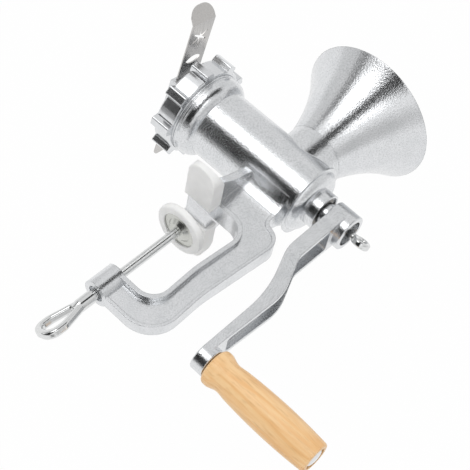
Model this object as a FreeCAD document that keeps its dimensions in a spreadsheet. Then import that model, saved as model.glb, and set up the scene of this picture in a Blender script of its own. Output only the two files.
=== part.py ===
import FreeCAD, Part
import math
import os
import re
import Sketcher

# Hand crank grinder with a table clamp, in millimetres.
# X runs from the outlet to the crank, Z runs up and Y runs from the near side to the far side.
# The origin lies on the clamp screw's axis, in the plane where the feet sit on the table.

# Driving dimensions, each written once: name, value, what it measures.
SIZES = (
    ("overrun", 1.0, "how far a cutting tool runs past the face it opens"),
    ("running_fit", 0.05, "radial play of a shaft in its bearing"),
    ("axis_height", 62.0, "barrel axis above the table seat"),
    ("barrel_radius", 24.0, "outside of the barrel"),
    ("bore_radius", 20.5, "bore of the barrel around the auger"),
    ("bore_front", -50.0, "front end of the bore, where the knife chamber starts"),
    ("end_wall", 34.0, "inner face of the wall behind the auger"),
    ("head_front", -64.5, "front face of the threaded head"),
    ("head_length", 12.0, "threaded length of the head"),
    ("head_radius", 29.2, "outside of the threaded head"),
    ("shoulder_length", 9.5, "rounded shoulder behind the head"),
    ("shoulder_round", 9.0, "curve of the shoulder behind the head"),
    ("lip_place", 37.4, "front of the raised lip at the barrel's rear"),
    ("lip_width", 1.2, "width of the raised lip"),
    ("lip_radius", 25.5, "outside of the raised lip"),
    ("dome_radius", 22.8, "outside of the domed end"),
    ("dome_end", 43.6, "rear of the domed end"),
    ("dome_face_radius", 15.0, "radius where the dome's curve ends"),
    ("dome_round", 8.0, "curve of the domed end"),
    ("boss_radius", 13.0, "outside of the rear bearing boss"),
    ("boss_end", 50.8, "rear face of the bearing boss"),
    ("boss_recess_radius", 11.6, "recess in the bearing boss's face"),
    ("boss_recess_depth", 2.4, "depth of that recess"),
    ("hopper_place", 15.0, "hopper axis behind the clamp screw axis"),
    ("neck_radius", 20.9, "outside of the hopper's neck"),
    ("neck_height", 29.5, "start of the flare above the barrel axis"),
    ("throat_radius", 18.0, "inside of the hopper's neck"),
    ("rim_radius", 49.8, "outside of the hopper's mouth"),
    ("rim_height", 84.6, "hopper's mouth above the barrel axis"),
    ("rim_wall", 1.5, "wall at the hopper's mouth"),
    ("flare_radius", 134.0, "curve of the hopper's flare"),
    ("hopper_fillet", 1.2, "fillet between hopper and barrel"),
    ("web_low_half", 3.5, "half thickness of the frame's web at the bottom"),
    ("web_high_half", 5.8, "half thickness of the frame's web under the barrel"),
    ("web_neck_height", 26.0, "height where the web starts to spread to the barrel"),
    ("web_spread_half", 15.5, "half width of the web where it meets the barrel"),
    ("web_spread_height", 43.6, "height where the spread web meets the barrel"),
    ("web_spread_round", 21.0, "curve of the spread web"),
    ("web_rear", 33.5, "rear of the web under the barrel"),
    ("nape_place", 34.6, "hollow between barrel and spine, from the screw axis"),
    ("nape_height", 24.5, "height of that hollow"),
    ("nape_round", 5.0, "rounding of that hollow"),
    ("hump_place", 49.8, "corner at the top of the spine, from the screw axis"),
    ("hump_height", 21.0, "height of that corner"),
    ("hump_round", 11.0, "rounding of that corner"),
    ("waist_place", 44.8, "narrowest place of the spine's back, from the screw axis"),
    ("waist_height", -42.0, "height of that place"),
    ("waist_round", 90.0, "curve of the spine's back"),
    ("heel_place", 46.6, "lower corner of the spine's back, from the screw axis"),
    ("heel_round", 21.0, "rounding of that corner"),
    ("arm_bottom", -86.3, "underside of the lower arm"),
    ("rail_width", 2.2, "width of the raised rail along the web's edge"),
    ("rail_rise", 0.8, "height of that rail over the web"),
    ("flange_thickness", 3.0, "thickness of the flange around the clamp gap"),
    ("flange_half", 8.0, "half width of that flange"),
    ("gap_bottom", -68.6, "top of the lower arm in the clamp gap"),
    ("gap_low_place", 29.4, "lower corner of the clamp gap, from the screw axis"),
    ("gap_low_round", 11.5, "rounding of that corner"),
    ("gap_waist_place", 28.0, "middle of the spine's inner face, from the screw axis"),
    ("gap_waist_height", -33.0, "height of that place"),
    ("gap_waist_round", 110.0, "curve of the spine's inner face"),
    ("gap_high_place", 31.2, "upper corner of the clamp gap, from the screw axis"),
    ("gap_high_round", 12.5, "rounding of that corner"),
    ("pedestal_front", -1.0, "front face of the pedestal plate"),
    ("pedestal_thickness", 5.0, "thickness of the pedestal plate"),
    ("pedestal_reach", 33.0, "half width of the pedestal plate on the feet"),
    ("pedestal_edge", 6.0, "height of the pedestal plate's tips"),
    ("pedestal_waist_half", 20.0, "half width of the pedestal plate where its curve ends"),
    ("pedestal_waist_height", 24.0, "height where that curve ends"),
    ("pedestal_curve", 45.0, "curve of the pedestal plate's edge"),
    ("pedestal_top_half", 13.0, "half width of the pedestal plate at the barrel"),
    ("pedestal_top_height", 42.5, "height of that place"),
    ("foot_front", -12.0, "front face of the foot bar"),
    ("foot_rear", 5.6, "rear face of the foot bar"),
    ("foot_top", 10.0, "top of the foot bar above the table seat"),
    ("foot_reach", 41.3, "half length of the foot bar"),
    ("foot_tip_top", 5.0, "top of the foot bar at its ends"),
    ("foot_slope_start", 31.0, "place where the foot bar's top starts to fall, from the middle"),
    ("foot_round", 8.0, "rounding of the foot bar's corners"),
    ("cap_floor", 2.0, "floor of a foot cap under the foot bar"),
    ("cap_wall", 2.0, "wall of a foot cap around the foot bar"),
    ("cap_inner_end", 10.0, "inner end of a foot cap from the middle"),
    ("cap_edge_round", 0.8, "rounding of a foot cap's lower edge"),
    ("clamp_boss_radius", 9.0, "outside of the clamp screw's boss"),
    ("clamp_boss_rise", 0.6, "height of that boss over the lower arm"),
    ("clamp_recess_radius", 5.5, "recess under that boss"),
    ("clamp_recess_depth", 2.5, "depth of that recess"),
    ("bush_radius", 10.2, "outside of the bearing bush"),
    ("bush_end", 49.4, "rear end of the bearing bush"),
    ("washer_radius", 14.0, "outside of the thrust washer"),
    ("washer_thickness", 1.6, "thickness of the thrust washer"),
    ("washer_play", 0.3, "play around and in front of the thrust washer"),
    ("flight_gap", 0.6, "gap between the auger's flight and the bore"),
    ("core_front_radius", 8.0, "auger core at its front end"),
    ("core_rear_radius", 10.0, "auger core at its rear end"),
    ("core_end_gap", 0.4, "auger core short of the knife chamber"),
    ("collar_length", 3.0, "thrust collar at the auger's rear"),
    ("flight_pitch", 22.0, "advance of the auger's flight in one turn"),
    ("flight_length", 70.0, "advance of the whole flight"),
    ("flight_start_gap", 4.2, "middle of the flight's first section behind the core's front end"),
    ("flight_root_half", 3.4, "half thickness of the flight at its root"),
    ("flight_tip_half", 1.6, "half thickness of the flight at its tip"),
    ("journal_radius", 8.0, "auger shaft in the bearing bush"),
    ("journal_end", 55.4, "rear end of that shaft, where the crank sits"),
    ("shank_radius", 6.5, "shank that carries the crank"),
    ("shank_flat_half", 4.8, "half distance between the shank's two flats"),
    ("shank_end", 66.2, "rear end of the shank"),
    ("square_half", 5.0, "half width of the knife's square drive"),
    ("square_length", 8.6, "length of the knife's square drive"),
    ("square_fit", 0.15, "play of the knife on its square drive"),
    ("stud_radius", 4.0, "stud at the auger's front"),
    ("stud_depth", 12.0, "length of the stud inside the auger"),
    ("stud_tip_gap", 0.4, "stud short of the plate's front face"),
    ("knife_gap", 0.6, "gap between the knife and the knife chamber's back"),
    ("knife_thickness", 8.2, "thickness of the knife along the axis"),
    ("knife_hub_radius", 9.5, "outside of the knife's hub"),
    ("knife_reach", 25.0, "reach of a knife blade"),
    ("blade_edge_half", 4.6, "half width of a blade at its cutting face"),
    ("blade_back_half", 2.4, "half width of a blade at its back"),
    ("blade_count", 4, "number of knife blades"),
    ("plate_radius", 26.8, "outside of the grinding plate"),
    ("plate_fit", 0.2, "play of the grinding plate in the head"),
    ("plate_thickness", 6.0, "thickness of the grinding plate"),
    ("plate_proud", 0.5, "grinding plate in front of the head"),
    ("plate_hole_radius", 3.5, "radius of a hole in the grinding plate"),
    ("inner_ring_radius", 11.0, "circle of the inner ring of holes"),
    ("inner_ring_count", 6, "number of holes in the inner ring"),
    ("outer_ring_radius", 20.3, "circle of the outer ring of holes"),
    ("outer_ring_count", 12, "number of holes in the outer ring"),
    ("key_radius", 1.8, "radius of the plate's locating pin"),
    ("key_inner", 24.4, "inner end of the locating pin from the barrel axis"),
    ("key_outer", 28.6, "outer end of the locating pin from the barrel axis"),
    ("key_fit", 0.25, "play of the locating pin in the plate's notch"),
    ("nut_radius", 32.0, "outside of the ring nut between its lugs"),
    ("nut_rear", -56.0, "rear edge of the ring nut"),
    ("nut_thread_gap", 0.4, "gap between the nut's thread and the head"),
    ("nut_lip_thickness", 3.0, "thickness of the nut's front lip"),
    ("nut_opening", 23.6, "radius of the nut's front opening"),
    ("nut_edge_round", 1.2, "rounding of the nut's outer edges"),
    ("lug_reach", 36.0, "outer face of a lug from the barrel axis"),
    ("lug_half", 3.0, "half width of a lug"),
    ("lug_flank_half", 4.2, "half width of a lug at its root"),
    ("lug_count", 9, "number of lugs"),
    ("lug_turn", 10.0, "turn of the first lug away from straight up, in degrees"),
    ("guide_turn", -11.2, "turn of the guide plate about the barrel axis, in degrees"),
    ("guide_disc_radius", 26.5, "outside of the guide plate's disc"),
    ("guide_disc_thickness", 2.0, "thickness of the guide plate's disc"),
    ("tower_half_width", 14.0, "half width of the guide plate's tower across the strip"),
    ("tower_half_length", 17.0, "half length of the tower along the strip"),
    ("tower_rise", 9.6, "strip's seat in front of the guide plate's disc"),
    ("tower_lip", 1.4, "thickness of the lips that hold the strip"),
    ("lip_half_gap", 8.5, "half gap between those lips"),
    ("passage_half_width", 8.5, "half width of the passage through the tower"),
    ("passage_half_length", 12.0, "half length of that passage"),
    ("strip_half_width", 10.5, "half width of the forming strip"),
    ("strip_thickness", 0.8, "thickness of the forming strip"),
    ("strip_play", 0.15, "play around the forming strip"),
    ("strip_fold", 61.5, "fold of the strip's tab from the barrel axis"),
    ("strip_tail", 52.0, "other end of the strip from the barrel axis"),
    ("strip_corner_round", 4.0, "rounding of the strip's end"),
    ("tab_length", 11.5, "length of the strip's bent tab"),
    ("tab_bend", 37.0, "bend of the tab out of the strip's plane, in degrees"),
    ("tab_round", 9.0, "rounding of the tab's corners"),
    ("shape_pitch", 18.4, "distance from one cut shape to the next"),
    ("shape_first", 49.0, "first cut shape from the barrel axis"),
    ("star_reach", 7.2, "reach of the star's rays"),
    ("star_ray_half", 1.0, "half width of a ray at its root"),
    ("star_tip_half", 0.5, "half width of a ray at its tip"),
    ("star_ray_count", 6, "number of the star's rays"),
    ("leaf_half_length", 7.0, "half length of the leaf"),
    ("leaf_curve", 9.5, "curve of the leaf's sides"),
    ("slot_half_width", 1.3, "half width of the straight slot"),
    ("slot_half_length", 7.0, "half length of the straight slot"),
    ("round_radius", 5.0, "radius of the round shape"),
    ("crank_length", 130.7, "grip axis below the barrel axis"),
    ("crank_fit", 0.1, "play of the crank on the shank"),
    ("hub_inner", 55.6, "inner face of the crank's hub"),
    ("hub_outer", 72.5, "outer face of the crank's hub"),
    ("hub_radius", 12.5, "outside of the crank's hub"),
    ("hub_recess_radius", 9.2, "recess in the hub's outer face"),
    ("hub_recess_floor", 66.5, "floor of that recess"),
    ("hub_round", 0.8, "rounding of the hub's edges"),
    ("crank_inner_high", 56.5, "inner face of the crank arm near the hub"),
    ("crank_inner_low", 70.0, "inner face of the crank arm near the grip"),
    ("crank_outer_high", 66.7, "outer edge of the crank arm near the hub"),
    ("crank_outer_knee", 78.2, "outer edge of the crank arm at its lower bend"),
    ("crank_outer_low", 75.4, "outer edge of the crank arm at the grip"),
    ("crank_bend_high", 44.0, "upper bend of the crank arm below the hub's axis"),
    ("crank_bend_low", 76.0, "lower bend of the crank arm's inner face below the hub's axis"),
    ("crank_knee_low", 70.0, "lower bend of the crank arm's outer edge below the hub's axis"),
    ("crank_high_round", 30.0, "curve of the inner face at the upper bend"),
    ("crank_low_round", 82.0, "curve of the inner face at the lower bend"),
    ("crank_edge_round", 15.0, "curve of the outer edge at the upper bend"),
    ("crank_knee_round", 40.0, "curve of the outer edge at the lower bend"),
    ("crank_high_half", 12.5, "half width of the crank arm at the hub"),
    ("crank_low_half", 9.0, "half width of the crank arm at the grip"),
    ("channel_floor", 3.0, "floor of the crank arm's channel"),
    ("channel_wall", 2.6, "walls of that channel"),
    ("channel_start", 14.5, "upper end of the channel below the hub's axis"),
    ("channel_end_gap", 15.0, "lower end of the channel above the grip's axis"),
    ("channel_round", 2.0, "rounding of the channel's corners"),
    ("end_boss_radius", 9.6, "outside of the boss that holds the grip's pin"),
    ("end_boss_face", 79.4, "outer face of that boss"),
    ("end_boss_round", 1.0, "rounding of that boss"),
    ("pin_radius", 3.5, "grip pin"),
    ("pin_head_radius", 6.5, "head of the grip pin"),
    ("pin_head_thickness", 2.0, "thickness of that head"),
    ("grip_gap", 0.6, "gap between the grip and the crank"),
    ("grip_length", 79.5, "length of the grip"),
    ("grip_bead_radius", 11.8, "bead at the grip's near end"),
    ("grip_bead_length", 5.2, "length of that bead"),
    ("grip_bead_round", 2.5, "rounding of that bead"),
    ("grip_groove_radius", 9.7, "groove behind that bead"),
    ("grip_groove_place", 11.2, "middle of that groove from the near end"),
    ("grip_groove_round", 9.0, "curve of that groove"),
    ("grip_swell_start", 18.0, "start of the grip's swelling"),
    ("grip_swell_radius", 10.6, "grip where the swelling starts"),
    ("grip_swell_curve", 380.0, "curve of the swelling"),
    ("grip_tail_radius", 10.3, "grip at its far end"),
    ("grip_tail_round", 1.5, "rounding of the far end"),
    ("grip_recess_radius", 7.4, "recess for the pin's head"),
    ("grip_recess_depth", 3.6, "depth of that recess"),
    ("crank_washer_radius", 8.6, "washer under the thumb screw"),
    ("crank_washer_thickness", 1.2, "thickness of that washer"),
    ("crank_washer_play", 0.3, "play around the thumb screw in that washer"),
    ("thumb_radius", 3.0, "thread of the thumb screw"),
    ("thumb_reach", 12.0, "length of that thread inside the shank"),
    ("thumb_hole_extra", 1.5, "depth of the shank's hole past the thread"),
    ("thumb_collar_radius", 5.0, "collar of the thumb screw"),
    ("thumb_collar_thickness", 2.0, "thickness of that collar"),
    ("thumb_neck_radius", 2.6, "neck of the thumb screw"),
    ("eye_place", 81.5, "middle of the thumb screw's eye"),
    ("eye_radius", 6.4, "outside of the eye"),
    ("eye_hole_radius", 2.8, "hole of the eye"),
    ("eye_half", 2.3, "half thickness of the eye"),
    ("eye_round", 1.5, "rounding of the eye's edges"),
    ("eye_turn", 40.0, "turn of the eye about the barrel axis, in degrees"),
    ("rod_radius", 3.0, "clamp screw"),
    ("rod_foot", -97.0, "lower end of the clamp screw, inside the loop handle"),
    ("rod_head_radius", 4.8, "head of the clamp screw inside the pressure disc"),
    ("rod_head_thickness", 1.8, "thickness of that head"),
    ("head_play", 0.3, "play above and below that head"),
    ("pad_top", -13.0, "top of the pressure pad"),
    ("pad_thickness", 4.8, "thickness of the pressure pad"),
    ("pad_radius", 17.8, "outside of the pressure pad"),
    ("pad_edge_round", 1.2, "rounding of the pressure pad's edges"),
    ("pad_roof", 2.6, "roof of the pressure pad over the disc"),
    ("disc_radius", 12.4, "outside of the pressure disc"),
    ("disc_thickness", 1.2, "thickness of the pressure disc"),
    ("dish_outer_radius", 8.6, "outer edge of the pressure disc's dish"),
    ("dish_inner_radius", 6.0, "bottom of that dish"),
    ("loop_top", -89.2, "upper end of the loop handle"),
    ("loop_bottom", -129.4, "lower end of the loop handle"),
    ("loop_turn", -37.0, "turn of the loop handle about the clamp screw, in degrees"),
    ("loop_neck_radius", 4.2, "neck of the loop handle"),
    ("loop_neck_end", -99.0, "lower end of that neck"),
    ("loop_half_width", 10.2, "half width of the loop"),
    ("loop_wide_height", -116.0, "height of the loop's widest place"),
    ("loop_half_thickness", 2.75, "half thickness of the loop"),
    ("loop_band", 4.6, "width of the band around the loop's hole"),
    ("loop_hole_top", -103.5, "upper end of the loop's hole"),
    ("loop_hole_top_half", 1.8, "half width of that hole at its top"),
    ("loop_hole_top_round", 1.6, "rounding of that hole's upper corners"),
    ("loop_wide_round", 9.0, "curve of the loop's sides at the widest place"),
    ("loop_round", 8.5, "rounding of the loop's lower corners"),
    ("loop_hole_round", 4.4, "rounding of the hole's lower corners"),
    ("loop_edge_round", 1.9, "rounding of the loop's edges"),
    ("cut_margin", 1.2, "flat cuts between the casting's nodes, clear of the head"),
    ("stock", 400.0, "block that holds the whole casting"),
)

SIZE_NAMES = {name for name, value, meaning in SIZES}
WORD = re.compile(r"[A-Za-z_]\w*")
UP = FreeCAD.Vector(0, 0, 1)
POINT_KINDS = ("edge", "start", "end", "centre")
LINE_START = POINT_KINDS.index("start")
LINE_END = POINT_KINDS.index("end")
SKETCH_ORIGIN = -1

doc = FreeCAD.newDocument("Grinder")
sheet = doc.addObject("Spreadsheet::Sheet", "Sizes")
for row, (size_name, size_value, size_meaning) in enumerate(SIZES, start=1):
    sheet.set(f"A{row}", size_meaning)
    sheet.set(f"B{row}", str(size_value))
    sheet.setAlias(f"B{row}", size_name)
doc.recompute()

nodes = {}


# Formulas and placing


def cell(formula):
    """Write every size in a formula as the sheet's cell."""
    def cell_of(word):
        name = word.group()
        return f"Sizes.{name}" if name in SIZE_NAMES else name

    return WORD.sub(cell_of, formula)


def number(formula):
    """Work out a formula with the sheet's present values."""
    return float(sheet.evalExpression(cell(formula)))


def bind(feature, **formulas):
    """Tie properties of a feature to formulas."""
    for name, formula in formulas.items():
        feature.setExpression(name, cell(formula))


def place(feature, x="0", y="0", z="0"):
    """Tie a feature's position to three formulas."""
    for name, formula in (("x", x), ("y", y), ("z", z)):
        feature.setExpression(f"Placement.Base.{name}", cell(formula))


def turn(feature, axis, angle):
    """Tie a feature's turn about an axis to a formula in degrees."""
    feature.Placement = FreeCAD.Placement(FreeCAD.Vector(), FreeCAD.Rotation(axis, number(angle)))
    feature.setExpression("Placement.Rotation.Angle", cell(angle))


def keep(name, feature):
    """Name a finished piece as a node."""
    feature.Label = name
    nodes[name] = feature
    return feature


# Sketches


def new_body(name):
    body = doc.addObject("PartDesign::Body", name)
    body.Label = name
    return body


def origin_part(body, role):
    for feature in body.Origin.OriginFeatures:
        if feature.Role == role:
            return feature
    raise RuntimeError(f"{body.Label} has no {role}")


def sketch_on(body, role, start="0"):
    """Start a sketch on one of a body's own planes, moved along the plane's normal."""
    sketch = body.newObject("Sketcher::SketchObject", f"{body.Name}_sketch")
    sketch.AttachmentSupport = (origin_part(body, role), [""])
    sketch.MapMode = "FlatFace"
    sketch.setExpression("AttachmentOffset.Base.z", cell(start))
    return sketch


def fix(sketch, geometry, end, across, up):
    """Hold one point of a sketch at two formulas from the sketch's origin."""
    for kind, formula in (("DistanceX", across), ("DistanceY", up)):
        rule = Sketcher.Constraint(kind, SKETCH_ORIGIN, 1, geometry, end, number(formula))
        row = sketch.addConstraint(rule)
        sketch.setExpression(f"Constraints[{row}]", cell(formula))


def fix_radius(sketch, geometry, radius):
    row = sketch.addConstraint(Sketcher.Constraint("Radius", geometry, number(radius)))
    sketch.setExpression(f"Constraints[{row}]", cell(radius))


def add_arc(sketch, centre, start, finish, radius):
    """Add the short arc from start to finish, and return its number and its two ends in that order."""
    leftward = (start - centre).cross(finish - centre).z > 0
    first, last = (start, finish) if leftward else (finish, start)
    angles = [math.atan2(point.y - centre.y, point.x - centre.x) for point in (first, last)]
    if angles[1] < angles[0]:
        angles[1] += 2 * math.pi
    arc = Part.ArcOfCircle(Part.Circle(centre, UP, number(radius)), angles[0], angles[1])
    geometry = sketch.addGeometry(arc)
    fix_radius(sketch, geometry, radius)
    ends = (LINE_START, LINE_END) if leftward else (LINE_END, LINE_START)
    return geometry, ends


def corner_arc(before, here, after, radius):
    """Return the centre and the two ends of the arc that rounds a corner."""
    back = (before - here).normalize()
    ahead = (after - here).normalize()
    half = back.getAngle(ahead) / 2
    run = radius / math.tan(half)
    centre = here + (back + ahead).normalize() * (radius / math.sin(half))
    return centre, here + back * run, here + ahead * run


def bow_centre(start, finish, radius, leftward):
    """Return the centre of a bowed side, whose bow lies to the left or right of its run."""
    middle = (start + finish) * 0.5
    half = (finish - start).Length / 2
    left = UP.cross(finish - start).normalize()
    depth = math.sqrt(radius ** 2 - half ** 2)
    return middle - left * depth if leftward else middle + left * depth


def outline(sketch, corners, left_bows=None, right_bows=None):
    """Close an outline through corners given as formulas: across, up and, for a rounded corner, its radius.

    A bow gives the side that leaves a corner a radius, and bulges to the left or right of the run.
    """
    left_bows = left_bows or {}
    right_bows = right_bows or {}
    points = [FreeCAD.Vector(number(corner[0]), number(corner[1]), 0) for corner in corners]
    bends = {}
    for place_number, corner in enumerate(corners):
        if len(corner) == 3:
            after = points[(place_number + 1) % len(points)]
            here = points[place_number]
            bends[place_number] = corner_arc(points[place_number - 1], here, after, number(corner[2]))

    sides = []
    for place_number, start in enumerate(points):
        after_number = (place_number + 1) % len(points)
        if place_number in bends:
            start = bends[place_number][2]
        finish = bends[after_number][1] if after_number in bends else points[after_number]
        bow = left_bows.get(place_number) or right_bows.get(place_number)
        if bow:
            centre = bow_centre(start, finish, number(bow), place_number in left_bows)
            sides.append(add_arc(sketch, centre, start, finish, bow))
        else:
            line = sketch.addGeometry(Part.LineSegment(start, finish))
            sides.append((line, (LINE_START, LINE_END)))

    for place_number, corner in enumerate(corners):
        before, before_ends = sides[place_number - 1]
        after, after_ends = sides[place_number]
        if place_number not in bends:
            joint = Sketcher.Constraint("Coincident", before, before_ends[1], after, after_ends[0])
            sketch.addConstraint(joint)
            fix(sketch, after, after_ends[0], corner[0], corner[1])
            continue
        centre, start, finish = bends[place_number]
        arc, arc_ends = add_arc(sketch, centre, start, finish, corner[2])
        sketch.addConstraint(Sketcher.Constraint("Tangent", before, before_ends[1], arc, arc_ends[0]))
        sketch.addConstraint(Sketcher.Constraint("Tangent", arc, arc_ends[1], after, after_ends[0]))
        corner_point = sketch.addGeometry(Part.Point(points[place_number]), True)
        fix(sketch, corner_point, 1, corner[0], corner[1])
        sketch.addConstraint(Sketcher.Constraint("PointOnObject", corner_point, 1, before))
        sketch.addConstraint(Sketcher.Constraint("PointOnObject", corner_point, 1, after))
    return sketch


def circle(sketch, across, up, radius):
    centre = FreeCAD.Vector(number(across), number(up), 0)
    geometry = sketch.addGeometry(Part.Circle(centre, UP, number(radius)))
    fix_radius(sketch, geometry, radius)
    fix(sketch, geometry, 3, across, up)
    return sketch


def mirrored(corners):
    """Follow corners on one side with the same corners on the other side, run backwards."""
    return list(corners) + [(f"-({corner[0]})",) + tuple(corner[1:]) for corner in reversed(corners)]


def box_corners(half_across, half_up):
    return [
        (f"-({half_across})", f"-({half_up})"),
        (half_across, f"-({half_up})"),
        (half_across, half_up),
        (f"-({half_across})", half_up),
    ]


# Features


def pad(body, sketch, length, both=False):
    feature = body.newObject("PartDesign::Pad", f"{body.Name}_pad")
    feature.Profile = sketch
    if both:
        feature.SideType = "Symmetric"
    bind(feature, Length=length)
    sketch.Visibility = False
    return feature


def pocket(body, sketch, length, both=False):
    """Cut a sketch into a body, against the sketch's normal or to both sides."""
    feature = body.newObject("PartDesign::Pocket", f"{body.Name}_pocket")
    feature.Profile = sketch
    if both:
        feature.SideType = "Symmetric"
    bind(feature, Length=length)
    sketch.Visibility = False
    return feature


def revolve(body, sketch, axis):
    feature = body.newObject("PartDesign::Revolution", f"{body.Name}_turned")
    feature.Profile = sketch
    feature.ReferenceAxis = (sketch, [axis])
    feature.Angle = 360
    sketch.Visibility = False
    return feature


def repeat(body, feature, axis_role, count):
    pattern = body.newObject("PartDesign::PolarPattern", f"{body.Name}_ring")
    pattern.Originals = [feature]
    pattern.Axis = (origin_part(body, axis_role), [""])
    pattern.Angle = 360
    bind(pattern, Occurrences=count)
    body.Tip = pattern
    return pattern


def round_edges(body, radius, chosen):
    """Round the edges of a body's last feature that the test chooses."""
    doc.recompute()
    tip = body.Tip
    names = [f"Edge{row}" for row, edge in enumerate(tip.Shape.Edges, start=1) if chosen(edge)]
    feature = body.newObject("PartDesign::Fillet", f"{body.Name}_rounded")
    feature.Base = (tip, names)
    bind(feature, Radius=radius)
    return feature


def turned(name, axis, corners, left_bows=None, right_bows=None):
    """Make a body by turning an outline of length and radius about its own X or Z axis."""
    body = new_body(name)
    sketch = sketch_on(body, "XZ_Plane")
    outline(sketch, corners, left_bows, right_bows)
    revolve(body, sketch, {"X": "H_Axis", "Z": "V_Axis"}[axis])
    return body


def slab(name, role, start, length, corners, left_bows=None, right_bows=None, both=False):
    """Make a body by padding an outline from one of its planes."""
    body = new_body(name)
    sketch = sketch_on(body, role, start)
    outline(sketch, corners, left_bows, right_bows)
    pad(body, sketch, length, both)
    return body


def tube_corners(near, far, inner, outer):
    """Return the outline of a ring between two places along X and two radii."""
    return [(near, inner), (near, outer), (far, outer), (far, inner)]


def fuse(name, *shapes):
    feature = doc.addObject("Part::MultiFuse", name)
    feature.Shapes = list(shapes)
    return feature


def cut(name, base, tool):
    feature = doc.addObject("Part::Cut", name)
    feature.Base = base
    feature.Tool = tool
    return feature


def common(name, first, second):
    feature = doc.addObject("Part::MultiCommon", name)
    feature.Shapes = [first, second]
    return feature


# Body casting


def barrel_blank():
    shoulder_end = "head_front + head_length + shoulder_length"
    lip_end = "lip_place + lip_width"
    body = turned("barrel_blank", "X", [
        ("head_front", "0"),
        ("head_front", "head_radius"),
        ("head_front + head_length", "head_radius"),
        (shoulder_end, "barrel_radius"),
        ("lip_place", "barrel_radius"),
        ("lip_place", "lip_radius"),
        (lip_end, "lip_radius"),
        (lip_end, "dome_radius"),
        ("dome_end", "dome_face_radius"),
        ("dome_end", "boss_radius"),
        ("boss_end", "boss_radius"),
        ("boss_end", "0"),
    ], left_bows={2: "shoulder_round", 7: "dome_round"})
    place(body, z="axis_height")
    return body


def barrel_bore():
    body = turned("barrel_bore", "X", [
        ("head_front - overrun", "0"),
        ("head_front - overrun", "plate_radius + plate_fit"),
        ("bore_front", "plate_radius + plate_fit"),
        ("bore_front", "bore_radius"),
        ("end_wall", "bore_radius"),
        ("end_wall", "bush_radius"),
        ("boss_end - boss_recess_depth", "bush_radius"),
        ("boss_end - boss_recess_depth", "boss_recess_radius"),
        ("boss_end + overrun", "boss_recess_radius"),
        ("boss_end + overrun", "0"),
    ])
    place(body, z="axis_height")
    return body


def hopper_blank():
    body = turned("hopper_blank", "Z", [
        ("0", "0"),
        ("neck_radius", "0"),
        ("neck_radius", "neck_height"),
        ("rim_radius", "rim_height"),
        ("0", "rim_height"),
    ], left_bows={2: "flare_radius"})
    place(body, x="hopper_place", z="axis_height")
    return body


def hopper_bore():
    body = turned("hopper_bore", "Z", [
        ("0", "0"),
        ("throat_radius", "0"),
        ("throat_radius", "neck_height"),
        ("rim_radius - rim_wall", "rim_height"),
        ("rim_radius - rim_wall", "rim_height + overrun"),
        ("0", "rim_height + overrun"),
    ], left_bows={2: "flare_radius"})
    place(body, x="hopper_place", z="axis_height")
    return body


WEB_FRONT = "pedestal_front"
GAP_SIDE = [
    (WEB_FRONT, "gap_bottom"),
    ("gap_low_place", "gap_bottom", "gap_low_round"),
    ("gap_waist_place", "gap_waist_height", "gap_waist_round"),
    ("gap_high_place", "foot_top", "gap_high_round"),
    (WEB_FRONT, "foot_top"),
]


def web_side(name, inset):
    """Make the frame's outline seen from the side, drawn in by an inset along its outer edge."""
    return slab(name, "XZ_Plane", "0", "2 * web_spread_half", [
        (WEB_FRONT, "axis_height"),
        (f"web_rear - ({inset})", "axis_height"),
        (f"nape_place - ({inset})", f"nape_height - ({inset})", f"nape_round + {inset}"),
        (f"hump_place - ({inset})", f"hump_height - ({inset})", f"hump_round - ({inset})"),
        (f"waist_place - ({inset})", "waist_height", f"waist_round + {inset}"),
        (f"heel_place - ({inset})", f"arm_bottom + {inset}", f"heel_round - ({inset})"),
        (WEB_FRONT, f"arm_bottom + {inset}"),
    ] + GAP_SIDE, both=True)


def web_front(name, rise):
    """Make the frame's outline seen from the front, spread out by a rise over the web's faces."""
    half = [
        (f"web_low_half + {rise}", "arm_bottom"),
        (f"web_high_half + {rise}", "web_neck_height"),
        ("web_spread_half", "web_spread_height"),
        ("web_spread_half", "axis_height"),
    ]
    last_side = len(mirrored(half)) - 3
    bows = {1: "web_spread_round", last_side: "web_spread_round"}
    length = "hump_place - pedestal_front"
    return slab(name, "YZ_Plane", WEB_FRONT, length, mirrored(half), left_bows=bows)


def frame_web():
    """Make the web, thicker towards the barrel, with a raised rail along its outer edge."""
    panel = common("web_panel", web_side("web_panel_side", "0"), web_front("web_panel_front", "0"))
    rail_outer = common("rail_stock", web_side("rail_side", "0"), web_front("rail_front", "rail_rise"))
    rail = cut("web_rail", rail_outer, web_side("rail_inside", "rail_width"))
    return [panel, rail]


def frame_flange():
    """Make the flange that runs round the clamp gap, square to the web."""
    top = "foot_top + flange_thickness"
    bottom = "gap_bottom - flange_thickness"
    outer = [
        (WEB_FRONT, top),
        ("gap_high_place + flange_thickness", top, "gap_high_round + flange_thickness"),
        ("gap_waist_place + flange_thickness", "gap_waist_height", "gap_waist_round - flange_thickness"),
        ("gap_low_place + flange_thickness", bottom, "gap_low_round + flange_thickness"),
        (WEB_FRONT, bottom),
    ]
    return slab("frame_flange", "XZ_Plane", "0", "2 * flange_half", GAP_SIDE + outer, both=True)


def pedestal():
    half = [
        ("pedestal_reach", "cap_floor"),
        ("pedestal_reach", "pedestal_edge"),
        ("pedestal_waist_half", "pedestal_waist_height"),
        ("pedestal_top_half", "pedestal_top_height"),
        ("pedestal_top_half", "axis_height"),
    ]
    corners = mirrored(half)
    bows = {1: "pedestal_curve", len(corners) - 3: "pedestal_curve"}
    return slab("pedestal", "YZ_Plane", "pedestal_front", "pedestal_thickness", corners, left_bows=bows)


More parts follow.
